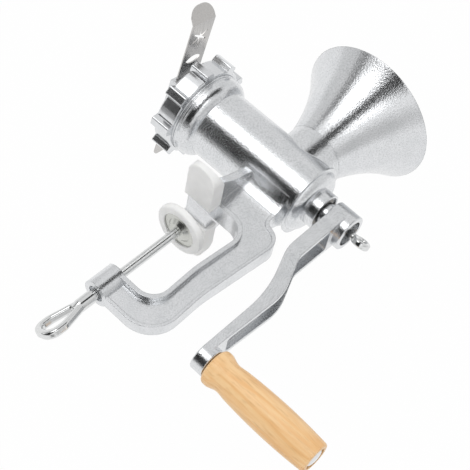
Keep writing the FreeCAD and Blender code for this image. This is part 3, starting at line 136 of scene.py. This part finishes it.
class GrinderStage(bpy.types.PropertyGroup):
    """Camera, floor and light."""

    azimuth: angle_property("Azimuth", "Camera's turn round the grinder, from straight ahead", 21.24)
    depression: angle_property("Depression", "How far below the grinder's horizon the camera stands", 29.34)
    roll: angle_property("Roll", "Turn of the camera about its own line of sight", 51.76)
    distance: length_property("Distance", "From the camera to the point that it looks at", 760)
    target_x: length_property("Target X", "Point in the middle of the picture, along the barrel", 38.0)
    target_y: length_property("Target Y", "Point in the middle of the picture, across the barrel", -32.7)
    target_z: length_property("Target Z", "Point in the middle of the picture, above the table seat", -13.1)
    lens: bpy.props.FloatProperty(
        name="Lens", description="Focal length on a 36 mm sensor", unit="CAMERA", default=99.66)
    floor_gap: length_property(
        "Floor gap", "From the lying hopper to the floor, with room for the turning crank", 110)
    floor_size: length_property("Floor size", "Width of the floor", 6000)
    ambient: factor_property("Ambient", "Strength of the soft light from all round", 0.72)


# Nodes

# Sockets of a mix node that blends colours
BLEND_FACTOR = 0
BLEND_FIRST = 6
BLEND_SECOND = 7
BLENDED = 2

# Sockets of a math node
FIRST_VALUE = 0
SECOND_VALUE = 1

# Sockets of a node that mixes shaders
SHADER_FACTOR = 0
FIRST_SHADER = 1
SECOND_SHADER = 2


def fill(tree, made, inputs):
    """Set a node's inputs, each to a plain value or to the socket that feeds it."""
    for name, value in inputs.items():
        if isinstance(value, bpy.types.NodeSocket):
            tree.links.new(value, made.inputs[name])
        else:
            made.inputs[name].default_value = value


def node(tree, kind, inputs=None, **settings):
    """Add a node with its settings and inputs."""
    made = tree.nodes.new(kind)
    for name, value in settings.items():
        setattr(made, name, value)
    fill(tree, made, inputs or {})
    return made


# Materials

# Most of a noise pattern's values lie between these two
NOISE_LOW = 0.3
NOISE_HIGH = 0.7
BEVEL_SAMPLES = 4

# Casting: the grain is drawn coarser than a real casting has it, so that it shows in the render
GRAIN_SIZE = 0.9 * MM
GRAIN_DEPTH = 0.23 * MM
PATCH_SIZE = 9.0 * MM
EDGE_RADIUS = 0.7 * MM
# Share of the dull colour left in the grain's pits, as painted shade
PIT_SHADE = 0.68
DULL_GLOSS = 1.1
BRIGHT_GLOSS = 0.92

# Rolled, ground and plated metal: the real lines are finer, and are drawn coarser so that they show
LINE_DEPTH = 0.05 * MM
LINE_SHADE = 0.9
LINE_DULL = 1.3
LINE_BRIGHT = 0.8

# Plastic: the mould's fine texture is drawn coarser so that it shows
MOULD_GRAIN = 0.6 * MM
MOULD_DEPTH = 0.05 * MM
MOULD_EDGE = 0.8 * MM
MILKY_SHADE = 0.93
LIGHT_DEPTH = 2.0 * MM

# Wood
GROWTH_RING = 3.4 * MM
RING_STRETCH = 0.09
PORE_LENGTH = 3.0 * MM
PORE_WIDTH = 0.4 * MM
PORE_SPACING = 4 * PORE_WIDTH
PORE_DEPTH = 0.1 * MM
PORE_SHADE = 0.75


def new_material(name):
    """Start a material and return it with its tree, its surface shader and its object coordinates."""
    material = bpy.data.materials.new(name)
    material.use_nodes = True
    tree = material.node_tree
    shader = tree.nodes["Principled BSDF"]
    place = node(tree, "ShaderNodeTexCoord").outputs["Object"]
    return material, tree, shader, place


# grain sets both the strength of the bump and how much painted shade the pits get
def cast_metal(name, light, dull, roughness, grain):
    """Make cast aluminium: long soft highlights, broken by fine grain whose pits get painted shade, a darker
    colour.
    """
    material, tree, shader, place = new_material(name)
    patches = node(tree, "ShaderNodeTexNoise", {
        "Vector": place, "Scale": 1 / PATCH_SIZE, "Detail": 3.0}).outputs[0]
    fine = node(tree, "ShaderNodeTexNoise", {
        "Vector": place, "Scale": 1 / GRAIN_SIZE, "Detail": 4.0}).outputs[0]
    patch = node(tree, "ShaderNodeMapRange", {
        "Value": patches, "From Min": 0.2, "From Max": 0.8}).outputs[0]
    surface = node(tree, "ShaderNodeMix", {
        BLEND_FACTOR: patch, BLEND_FIRST: dull, BLEND_SECOND: light}, data_type="RGBA").outputs[BLENDED]
    # Painted shade: where the fine grain's noise is high, the colour darkens towards a darker grey, for the
    # shade in the pits
    pit_shade_mask = node(tree, "ShaderNodeMapRange", {
        "Value": fine, "From Min": 0.45, "From Max": 0.7, "To Max": grain}).outputs[0]
    painted_pit_shade = shaded(dull, PIT_SHADE)
    pit_shaded = node(tree, "ShaderNodeMix", {
        BLEND_FACTOR: pit_shade_mask, BLEND_FIRST: surface, BLEND_SECOND: painted_pit_shade}, data_type="RGBA").outputs[BLENDED]
    gloss = node(tree, "ShaderNodeMapRange", {
        "Value": patches, "From Min": NOISE_LOW, "From Max": NOISE_HIGH,
        "To Min": roughness * DULL_GLOSS, "To Max": roughness * BRIGHT_GLOSS}).outputs[0]
    rounded = node(tree, "ShaderNodeBevel", {"Radius": EDGE_RADIUS}, samples=BEVEL_SAMPLES).outputs[0]
    bump = node(tree, "ShaderNodeBump", {
        "Height": fine, "Strength": grain, "Distance": GRAIN_DEPTH, "Normal": rounded}).outputs[0]
    fill(tree, shader, {"Base Color": pit_shaded, "Roughness": gloss, "Normal": bump, "Metallic": 1.0})
    return material


def turned_metal(name, colour, roughness, line_size, line_strength, stretch=(1.0, 1.0, 1.0)):
    """Make rolled, ground or plated metal: fine marks, drawn out along the axis with a small stretch."""
    material, tree, shader, place = new_material(name)
    drawn = node(tree, "ShaderNodeMapping", {"Vector": place, "Scale": stretch}).outputs[0]
    lines = node(tree, "ShaderNodeTexNoise", {
        "Vector": drawn, "Scale": 1 / line_size, "Detail": 3.0}).outputs[0]
    shade = node(tree, "ShaderNodeMapRange", {
        "Value": lines, "From Min": NOISE_LOW, "From Max": NOISE_HIGH}).outputs[0]
    darker = shaded(colour, LINE_SHADE)
    lined = node(tree, "ShaderNodeMix", {
        BLEND_FACTOR: shade, BLEND_FIRST: darker, BLEND_SECOND: colour}, data_type="RGBA").outputs[BLENDED]
    gloss = node(tree, "ShaderNodeMapRange", {
        "Value": lines, "From Min": NOISE_LOW, "From Max": NOISE_HIGH,
        "To Min": roughness * LINE_DULL, "To Max": roughness * LINE_BRIGHT}).outputs[0]
    bump = node(tree, "ShaderNodeBump", {
        "Height": lines, "Strength": line_strength, "Distance": LINE_DEPTH}).outputs[0]
    fill(tree, shader, {"Base Color": lined, "Roughness": gloss, "Normal": bump, "Metallic": 1.0})
    return material


def moulded_plastic(finish):
    """Make milky polyethylene, moulded: a waxy white that lets a little light in."""
    material, tree, shader, place = new_material("polyethylene_moulded")
    grain = node(tree, "ShaderNodeTexNoise", {
        "Vector": place, "Scale": 1 / MOULD_GRAIN, "Detail": 2.0}).outputs[0]
    cloud = node(tree, "ShaderNodeTexNoise", {
        "Vector": place, "Scale": 1 / PATCH_SIZE, "Detail": 2.0}).outputs[0]
    white = tuple(finish.plastic)
    milky = shaded(white, MILKY_SHADE)
    thickness = node(tree, "ShaderNodeMapRange", {
        "Value": cloud, "From Min": NOISE_LOW, "From Max": NOISE_HIGH}).outputs[0]
    clouded = node(tree, "ShaderNodeMix", {
        BLEND_FACTOR: thickness, BLEND_FIRST: milky, BLEND_SECOND: white}, data_type="RGBA").outputs[BLENDED]
    gloss = node(tree, "ShaderNodeMapRange", {
        "Value": grain, "From Min": NOISE_LOW, "From Max": NOISE_HIGH,
        "To Min": 0.38, "To Max": 0.5}).outputs[0]
    rounded = node(tree, "ShaderNodeBevel", {"Radius": MOULD_EDGE}, samples=BEVEL_SAMPLES).outputs[0]
    bump = node(tree, "ShaderNodeBump", {
        "Height": grain, "Strength": 0.08, "Distance": MOULD_DEPTH, "Normal": rounded}).outputs[0]
    fill(tree, shader, {
        "Base Color": clouded, "Roughness": gloss, "Normal": bump, "Subsurface Weight": 0.35,
        "Subsurface Radius": (1.0, 1.0, 0.95), "Subsurface Scale": LIGHT_DEPTH, "IOR": 1.5})
    return material


def varnished_wood(finish):
    """Make beech, turned and varnished: long pale streaks along the grip with short darker pores."""
    material, tree, shader, place = new_material("beech_turned_varnished")
    stretched = node(tree, "ShaderNodeMapping", {
        "Vector": place, "Scale": (RING_STRETCH, 1.0, 1.0)}).outputs[0]
    rings = node(tree, "ShaderNodeTexNoise", {
        "Vector": stretched, "Scale": 1 / GROWTH_RING, "Detail": 4.0, "Distortion": 0.8}).outputs[0]
    narrow = node(tree, "ShaderNodeMapping", {
        "Vector": place, "Scale": (PORE_WIDTH / PORE_LENGTH, 1.0, 1.0)}).outputs[0]
    pores = node(tree, "ShaderNodeTexNoise", {
        "Vector": narrow, "Scale": 1 / PORE_SPACING, "Detail": 3.0}).outputs[0]
    light = tuple(finish.wood_light)
    dark = tuple(finish.wood_dark)
    streak = node(tree, "ShaderNodeMapRange", {
        "Value": rings, "From Min": 0.38, "From Max": 0.66}).outputs[0]
    streaked = node(tree, "ShaderNodeMix", {
        BLEND_FACTOR: streak, BLEND_FIRST: light, BLEND_SECOND: dark}, data_type="RGBA").outputs[BLENDED]
    pore = node(tree, "ShaderNodeMapRange", {
        "Value": pores, "From Min": 0.54, "From Max": 0.7, "To Max": 0.5}).outputs[0]
    pore_tone = shaded(dark, PORE_SHADE)
    grained = node(tree, "ShaderNodeMix", {
        BLEND_FACTOR: pore, BLEND_FIRST: streaked, BLEND_SECOND: pore_tone},
        data_type="RGBA").outputs[BLENDED]
    gloss = node(tree, "ShaderNodeMapRange", {
        "Value": rings, "From Min": NOISE_LOW, "From Max": NOISE_HIGH,
        "To Min": 0.42, "To Max": 0.52}).outputs[0]
    bump = node(tree, "ShaderNodeBump", {
        "Height": pores, "Strength": 0.12, "Distance": PORE_DEPTH}).outputs[0]
    fill(tree, shader, {
        "Base Color": grained, "Roughness": gloss, "Normal": bump,
        "Coat Weight": 0.35, "Coat Roughness": 0.28})
    return material


def dress(material, *names):
    """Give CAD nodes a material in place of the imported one."""
    for name in names:
        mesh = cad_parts[name].data
        mesh.materials.clear()
        mesh.materials.append(material)


# Threads, made by geometry nodes

THREAD_STEPS = 40
RIDGE_SIDES = 12
THREAD_SOCKETS = (
    ("Radius", "NodeSocketFloat"),
    ("Length", "NodeSocketFloat"),
    ("Pitch", "NodeSocketFloat"),
    ("Rise", "NodeSocketFloat"),
    ("Material", "NodeSocketMaterial"),
)


def thread_tree(name):
    """Build the tree that winds a round ridge, sunk until its crest rises a little above the cylinder."""
    tree = bpy.data.node_groups.new(name, "GeometryNodeTree")
    for socket, kind in THREAD_SOCKETS:
        tree.interface.new_socket(socket, in_out="INPUT", socket_type=kind)
    tree.interface.new_socket("Geometry", in_out="OUTPUT", socket_type="NodeSocketGeometry")
    given = node(tree, "NodeGroupInput").outputs
    turns = node(tree, "ShaderNodeMath", {
        FIRST_VALUE: given["Length"], SECOND_VALUE: given["Pitch"]}, operation="DIVIDE").outputs[0]
    half_pitch = node(tree, "ShaderNodeMath", {
        FIRST_VALUE: given["Pitch"], SECOND_VALUE: 0.5}, operation="MULTIPLY").outputs[0]
    crest = node(tree, "ShaderNodeMath", {
        FIRST_VALUE: given["Radius"], SECOND_VALUE: given["Rise"]}, operation="ADD").outputs[0]
    middle = node(tree, "ShaderNodeMath", {
        FIRST_VALUE: crest, SECOND_VALUE: half_pitch}, operation="SUBTRACT").outputs[0]
    spiral = node(tree, "GeometryNodeCurveSpiral", {
        "Resolution": THREAD_STEPS, "Rotations": turns, "Start Radius": middle,
        "End Radius": middle, "Height": given["Length"]}).outputs[0]
    ridge = node(tree, "GeometryNodeCurvePrimitiveCircle", {
        "Resolution": RIDGE_SIDES, "Radius": half_pitch}).outputs[0]
    wound = node(tree, "GeometryNodeCurveToMesh", {
        "Curve": spiral, "Profile Curve": ridge, "Fill Caps": True}).outputs[0]
    real = node(tree, "GeometryNodeRealizeInstances", {"Geometry": wound}).outputs[0]
    coloured = node(tree, "GeometryNodeSetMaterial", {
        "Geometry": real, "Material": given["Material"]}).outputs[0]
    node(tree, "NodeGroupOutput", {"Geometry": coloured})
    return tree


def wind_thread(name, radius, length, pitch, rise, place, material):
    """Wind a thread, turn it into a plain mesh and set it in its place."""
    carrier = bpy.data.objects.new(f"{name}_tree", bpy.data.meshes.new(f"{name}_tree"))
    bpy.context.scene.collection.objects.link(carrier)
    modifier = carrier.modifiers.new("thread", "NODES")
    group = thread_tree(f"{name}_winding")
    modifier.node_group = group
    values = {"Radius": radius, "Length": length, "Pitch": pitch, "Rise": rise, "Material": material}
    for item in group.interface.items_tree:
        if item.in_out == "INPUT":
            modifier[item.identifier] = values[item.name]
    graph = bpy.context.evaluated_depsgraph_get()
    mesh = bpy.data.meshes.new_from_object(carrier.evaluated_get(graph), depsgraph=graph)
    bpy.data.objects.remove(carrier)
    bpy.data.node_groups.remove(group)
    mesh.name = name
    mesh.transform(place)
    piece = bpy.data.objects.new(name, mesh)
    bpy.context.scene.collection.objects.link(piece)
    return piece


# Operators for the pieces

DOME_SIDES = 48
DOME_ROWS = 10


class GRINDER_OT_castings(bpy.types.Operator):
    """Finish the aluminium castings."""

    bl_idname = "grinder.castings"
    bl_label = "Finish castings"

    def execute(self, context):
        finish = context.scene.grinder_finish
        light = tuple(finish.cast_light)
        dull = tuple(finish.cast_dull)
        # Cast and polished: broad bands of light and dark, with the grain showing through
        polished = cast_metal("aluminium_cast_polished", light, dull, finish.cast_roughness, grain=0.55)
        dress(polished, "hopper", "barrel")
        # Cast and buffed: the same bands, nearly without grain
        buffed = cast_metal("aluminium_cast_buffed", light, dull, finish.cast_roughness, grain=0.12)
        dress(buffed, "ring_nut")
        # Cast and tumbled: softer, greyer faces with rounded edges
        tumbled = cast_metal("aluminium_cast_tumbled", light, dull, finish.crank_roughness, grain=0.4)
        dress(tumbled, "clamp_frame", "crank_arm", "guide_plate")
        # As cast: soft grey, inside the barrel
        plain = cast_metal("aluminium_as_cast", light, dull, finish.crank_roughness, grain=0.25)
        dress(plain, "auger")
        return {"FINISHED"}


class GRINDER_OT_steel(bpy.types.Operator):
    """Finish the steel pieces and the bearing bush."""

    bl_idname = "grinder.steel"
    bl_label = "Finish steel"

    def execute(self, context):
        finish = context.scene.grinder_finish
        # Nickel plated: small sharp highlights on the round rods
        bright = turned_metal(
            "steel_nickel_plated", tuple(finish.steel), roughness=0.14, line_size=1.2 * MM,
            line_strength=0.05)
        dress(bright, "clamp_screw", "loop_handle", "thumb_screw", "crank_washer", "grip_pin")
        # Rolled stainless: a warm grey sheet with faint lines along it
        sheet = turned_metal(
            "stainless_sheet_rolled", tuple(finish.sheet), roughness=0.22, line_size=0.8 * MM,
            line_strength=0.05, stretch=(1.0, 0.05, 1.0))
        dress(sheet, "shape_strip")
        # Ground tool steel: darker grey with faint grinding lines
        tool = turned_metal(
            "tool_steel_ground", tuple(finish.tool), roughness=0.28, line_size=0.6 * MM,
            line_strength=0.12, stretch=(1.0, 1.0, 0.1))
        dress(tool, "cutting_knife", "grinding_plate", "knife_stud", "plate_locating_pin", "thrust_washer")
        # Zinc plated and passivated: a slightly yellow, softly shining grey
        zinc = turned_metal(
            "steel_zinc_passivated", tuple(finish.zinc), roughness=0.26, line_size=0.5 * MM,
            line_strength=0.03)
        dress(zinc, "pressure_disc")
        # Sintered and oiled: a dull dark grey with an uneven surface
        bush = turned_metal(
            "iron_sintered_oiled", tuple(finish.bush), roughness=0.4, line_size=0.5 * MM, line_strength=0.2)
        dress(bush, "rear_bush")
        return {"FINISHED"}


class GRINDER_OT_plastic(bpy.types.Operator):
    """Finish the moulded foot caps and the pressure pad."""

    bl_idname = "grinder.plastic"
    bl_label = "Finish plastic"

    def execute(self, context):
        dress(moulded_plastic(context.scene.grinder_finish), "foot_cap_near", "foot_cap_far", "pressure_pad")
        return {"FINISHED"}


class GRINDER_OT_wood(bpy.types.Operator):
    """Finish the turned wooden grip."""

    bl_idname = "grinder.wood"
    bl_label = "Finish wood"

    def execute(self, context):
        dress(varnished_wood(context.scene.grinder_finish), "grip")
        return {"FINISHED"}


class GRINDER_OT_threads(bpy.types.Operator):
    """Wind the threads on the barrel's head and on the clamp screw."""

    bl_idname = "grinder.threads"
    bl_label = "Wind threads"

    def execute(self, context):
        threads = context.scene.grinder_threads
        along_x = Matrix.Rotation(math.pi / 2, 4, "Y")
        head_start = Matrix.Translation((HEAD_LOW.x, 0, BARREL_AXIS))
        head = wind_thread(
            "head_thread", HEAD_RADIUS, HEAD_LENGTH - threads.head_end_gap, threads.head_pitch,
            threads.head_rise, head_start @ along_x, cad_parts["barrel"].data.materials[0])
        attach(head, "casting")
        rod_start = Matrix.Translation((0, 0, LOOP_TOP))
        rod = wind_thread(
            "rod_thread", ROD_RADIUS, DISC_BOTTOM - LOOP_TOP, threads.rod_pitch,
            threads.rod_rise, rod_start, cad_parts["clamp_screw"].data.materials[0])
        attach(rod, "clamp_screw")
        return {"FINISHED"}


class GRINDER_OT_rivet(bpy.types.Operator):
    """Dome the riveted end of the pin, which shows in the grip's far end."""

    bl_idname = "grinder.rivet"
    bl_label = "Dome the rivet"

    def execute(self, context):
        threads = context.scene.grinder_threads
        shape = bmesh.new()
        rings = []
        for row in range(DOME_ROWS):
            climb = math.pi / 2 * row / DOME_ROWS
            radius = threads.rivet_radius * math.cos(climb)
            place = PIN_END + threads.rivet_rise * math.sin(climb)
            ring = []
            for side in range(DOME_SIDES):
                turn = 2 * math.pi * side / DOME_SIDES
                point = (place, radius * math.cos(turn), GRIP_AXIS + radius * math.sin(turn))
                ring.append(shape.verts.new(point))
            rings.append(ring)
        for lower, upper in zip(rings, rings[1:]):
            for side in range(DOME_SIDES):
                after = (side + 1) % DOME_SIDES
                shape.faces.new((lower[side], lower[after], upper[after], upper[side])).smooth = True
        shape.faces.new(rings[0])
        shape.faces.new(rings[-1]).smooth = True
        bmesh.ops.recalc_face_normals(shape, faces=shape.faces)
        mesh = bpy.data.meshes.new("grip_rivet")
        shape.to_mesh(mesh)
        shape.free()
        mesh.materials.append(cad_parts["grip_pin"].data.materials[0])
        rivet = bpy.data.objects.new("grip_rivet", mesh)
        context.scene.collection.objects.link(rivet)
        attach(rivet, "crank")
        return {"FINISHED"}


# Stage

WHITE = (1.0, 1.0, 1.0, 1.0)
SENSOR_WIDTH = 36.0
FLOOR_GLOW = 0.97

# The lamp's size and distance are in metres and its power in watts
LAMP_WIDTH = 1.4
LAMP_HEIGHT = 0.62
LAMP_POWER = 4.5
LAMP_DIRECTION = (0.0, -1.0, -0.23)
CARD_DISTANCE = 1.2
CARD_STEPS = 8

# Cards that only reflections show: name, grey level, and the two ranges of angles that they cover.
# The first range goes round the barrel, from straight above the lying grinder towards the clamp.
# The second goes along the barrel, from the outlet's side to the crank's side.
CARDS = (
    ("camera_shade", 0.03, (34, 84), (-32, 24)),
    ("camera_shade_top", 0.04, (-46, 34), (-3, 22)),
    ("outlet_shade", 0.1, (-20, 60), (-50, -38)),
    ("outlet_wall", 0.75, (-70, 70), (-82, -52)),
    ("hopper_wall", 0.84, (-98, -16), (-54, -3)),
    ("hopper_wall_end", 0.84, (-98, -16), (22, 60)),
    ("hopper_wall_top", 0.84, (-98, -46), (-3, 22)),
    ("clamp_wall", 0.38, (84, 132), (-60, 60)),
    ("crank_wall", 0.66, (-70, 70), (50, 82)),
)


def seen_directly(tree):
    """Return a socket that is 1 where the camera, a reflection or a clear thing looks at the surface."""
    path = node(tree, "ShaderNodeLightPath").outputs
    mirrored = node(tree, "ShaderNodeMath", {
        FIRST_VALUE: path["Is Camera Ray"], SECOND_VALUE: path["Is Glossy Ray"]}, operation="ADD").outputs[0]
    return node(tree, "ShaderNodeMath", {
        FIRST_VALUE: mirrored, SECOND_VALUE: path["Is Transmission Ray"]}, operation="ADD").outputs[0]


def card_material(name, level):
    """Make a plain studio card that metal mirrors at one even tone."""
    material = bpy.data.materials.new(name)
    material.use_nodes = True
    tree = material.node_tree
    tree.nodes.clear()
    grey = (level, level, level, 1.0)
    glow = node(tree, "ShaderNodeEmission", {"Color": grey, "Strength": 1.0}).outputs[0]
    node(tree, "ShaderNodeOutputMaterial", {"Surface": glow})
    return material


def floor_material():
    """Make a table top, white to the eye and to metal, with a trace of shadow, and clear from below."""
    material = bpy.data.materials.new("table_top_white")
    material.use_nodes = True
    tree = material.node_tree
    tree.nodes.clear()
    matt = node(tree, "ShaderNodeBsdfDiffuse", {"Color": linear("F4F4F4")}).outputs[0]
    glow = node(tree, "ShaderNodeEmission", {"Color": WHITE, "Strength": 1.0}).outputs[0]
    share = node(tree, "ShaderNodeMath", {
        FIRST_VALUE: seen_directly(tree), SECOND_VALUE: FLOOR_GLOW}, operation="MULTIPLY").outputs[0]
    top = node(tree, "ShaderNodeMixShader", {
        SHADER_FACTOR: share, FIRST_SHADER: matt, SECOND_SHADER: glow}).outputs[0]
    clear = node(tree, "ShaderNodeBsdfTransparent").outputs[0]
    below = node(tree, "ShaderNodeNewGeometry").outputs["Backfacing"]
    whole = node(tree, "ShaderNodeMixShader", {
        SHADER_FACTOR: below, FIRST_SHADER: top, SECOND_SHADER: clear}).outputs[0]
    node(tree, "ShaderNodeOutputMaterial", {"Surface": whole})
    return material


def white_world(ambient):
    """Light evenly from all round, and show white to the camera and to metal."""
    world = bpy.data.worlds.new("white_studio")
    world.use_nodes = True
    tree = world.node_tree
    tree.nodes.clear()
    soft = node(tree, "ShaderNodeBackground", {"Color": WHITE, "Strength": ambient}).outputs[0]
    white = node(tree, "ShaderNodeBackground", {"Color": WHITE, "Strength": 1.0}).outputs[0]
    mixed = node(tree, "ShaderNodeMixShader", {
        SHADER_FACTOR: seen_directly(tree), FIRST_SHADER: soft, SECOND_SHADER: white}).outputs[0]
    node(tree, "ShaderNodeOutputWorld", {"Surface": mixed})
    bpy.context.scene.world = world


def stage_panel(name, middle, facing, size, material):
    """Make a flat square stage panel that faces a direction."""
    turn = Vector(facing).to_track_quat("Z", "Y").to_matrix().to_4x4()
    half = size / 2
    corners = [(-half, -half, 0), (half, -half, 0), (half, half, 0), (-half, half, 0)]
    mesh = bpy.data.meshes.new(name)
    mesh.from_pydata(corners, [], [(0, 1, 2, 3)])
    mesh.transform(Matrix.Translation(middle) @ turn)
    mesh.materials.append(material)
    panel = bpy.data.objects.new(name, mesh)
    bpy.context.scene.collection.objects.link(panel)


def stage_direction(round_angle, along_angle):
    """Return the direction at an angle round the barrel and an angle along it, in degrees."""
    round_turn = math.radians(round_angle)
    along_turn = math.radians(along_angle)
    return Vector((
        math.sin(along_turn),
        -math.cos(round_turn) * math.cos(along_turn),
        -math.sin(round_turn) * math.cos(along_turn)))


def stage_card(name, level, round_range, along_range):
    """Make a card bent round the grinder between two pairs of angles, for reflections alone."""
    corners = []
    faces = []
    for row in range(CARD_STEPS + 1):
        for column in range(CARD_STEPS + 1):
            round_angle = round_range[0] + (round_range[1] - round_range[0]) * row / CARD_STEPS
            along_angle = along_range[0] + (along_range[1] - along_range[0]) * column / CARD_STEPS
            corners.append(stage_direction(round_angle, along_angle) * CARD_DISTANCE)
    wide = CARD_STEPS + 1
    for row in range(CARD_STEPS):
        for column in range(CARD_STEPS):
            first = row * wide + column
            faces.append((first, first + 1, first + wide + 1, first + wide))
    mesh = bpy.data.meshes.new(name)
    mesh.from_pydata(corners, [], faces)
    mesh.materials.append(card_material(name, level))
    card = bpy.data.objects.new(name, mesh)
    bpy.context.scene.collection.objects.link(card)
    card.visible_camera = False
    card.visible_diffuse = False
    card.visible_shadow = False


def overhead_lamp():
    """Hang a wide soft lamp above the lying grinder."""
    data = bpy.data.lights.new("overhead_softbox", "AREA")
    data.shape = "RECTANGLE"
    data.size = LAMP_WIDTH
    data.size_y = LAMP_HEIGHT
    data.energy = LAMP_POWER
    lamp = bpy.data.objects.new("overhead_softbox", data)
    bpy.context.scene.collection.objects.link(lamp)
    towards = Vector(LAMP_DIRECTION).normalized()
    turned = towards.to_track_quat("Z", "Y").to_matrix().to_4x4()
    lamp.matrix_world = Matrix.Translation(towards * CARD_DISTANCE) @ turned


def photo_camera(stage):
    """Stand the camera where the photo was taken from: below the grinder's own horizon, and rolled."""
    forward = Vector((
        -math.sin(stage.azimuth) * math.cos(stage.depression),
        math.cos(stage.azimuth) * math.cos(stage.depression),
        math.sin(stage.depression)))
    level_right = forward.cross(Vector((0, 0, 1))).normalized()
    level_up = level_right.cross(forward)
    right = level_right * math.cos(stage.roll) + level_up * math.sin(stage.roll)
    up = right.cross(forward)
    target = Vector((stage.target_x, stage.target_y, stage.target_z))
    data = bpy.data.cameras.new("photo_camera")
    data.sensor_width = SENSOR_WIDTH
    data.lens = stage.lens
    camera = bpy.data.objects.new("photo_camera", data)
    bpy.context.scene.collection.objects.link(camera)
    turned = Matrix((right, up, -forward)).transposed().to_4x4()
    camera.matrix_world = Matrix.Translation(target - forward * stage.distance) @ turned
    bpy.context.scene.camera = camera


class GRINDER_OT_stage(bpy.types.Operator):
    """Set up the white table, the soft light and the camera."""

    bl_idname = "grinder.stage"
    bl_label = "Build stage"

    def execute(self, context):
        stage = context.scene.grinder_stage
        context.scene.view_settings.view_transform = "Standard"
        white_world(stage.ambient)
        floor_place = HOPPER_BACK + stage.floor_gap
        stage_panel("table_top", (0, floor_place, 0), (0, -1, 0), stage.floor_size, floor_material())
        for name, level, round_range, along_range in CARDS:
            stage_card(name, level, round_range, along_range)
        overhead_lamp()
        photo_camera(stage)
        return {"FINISHED"}


# Sidebar and registration

OPERATORS = (
    GRINDER_OT_castings, GRINDER_OT_steel, GRINDER_OT_plastic, GRINDER_OT_wood, GRINDER_OT_threads,
    GRINDER_OT_rivet, GRINDER_OT_stage)
GROUPS = {
    "grinder_finish": GrinderFinish,
    "grinder_threads": GrinderThreads,
    "grinder_stage": GrinderStage,
}


class GRINDER_PT_sidebar(bpy.types.Panel):
    """List the grinder's operators and settings."""

    bl_idname = "GRINDER_PT_sidebar"
    bl_label = "Grinder"
    bl_space_type = "VIEW_3D"
    bl_region_type = "UI"
    bl_category = "Grinder"

    def draw(self, context):
        for operator in OPERATORS:
            self.layout.operator(operator.bl_idname)
        for group_name in GROUPS:
            group = getattr(context.scene, group_name)
            box = self.layout.box()
            for name in group.bl_rna.properties.keys():
                if name not in ("rna_type", "name"):
                    box.prop(group, name)


def register():
    for kind in (*GROUPS.values(), *OPERATORS, GRINDER_PT_sidebar):
        bpy.utils.register_class(kind)
    for name, kind in GROUPS.items():
        setattr(bpy.types.Scene, name, bpy.props.PointerProperty(type=kind))


def unregister():
    for name in GROUPS:
        delattr(bpy.types.Scene, name)
    for kind in (GRINDER_PT_sidebar, *reversed(OPERATORS), *reversed(list(GROUPS.values()))):
        bpy.utils.unregister_class(kind)


def main():
    register()
    bpy.ops.grinder.castings()
    bpy.ops.grinder.steel()
    bpy.ops.grinder.plastic()
    bpy.ops.grinder.wood()
    bpy.ops.grinder.threads()
    bpy.ops.grinder.rivet()
    bpy.ops.grinder.stage()


if __name__ == "__main__":
    main()
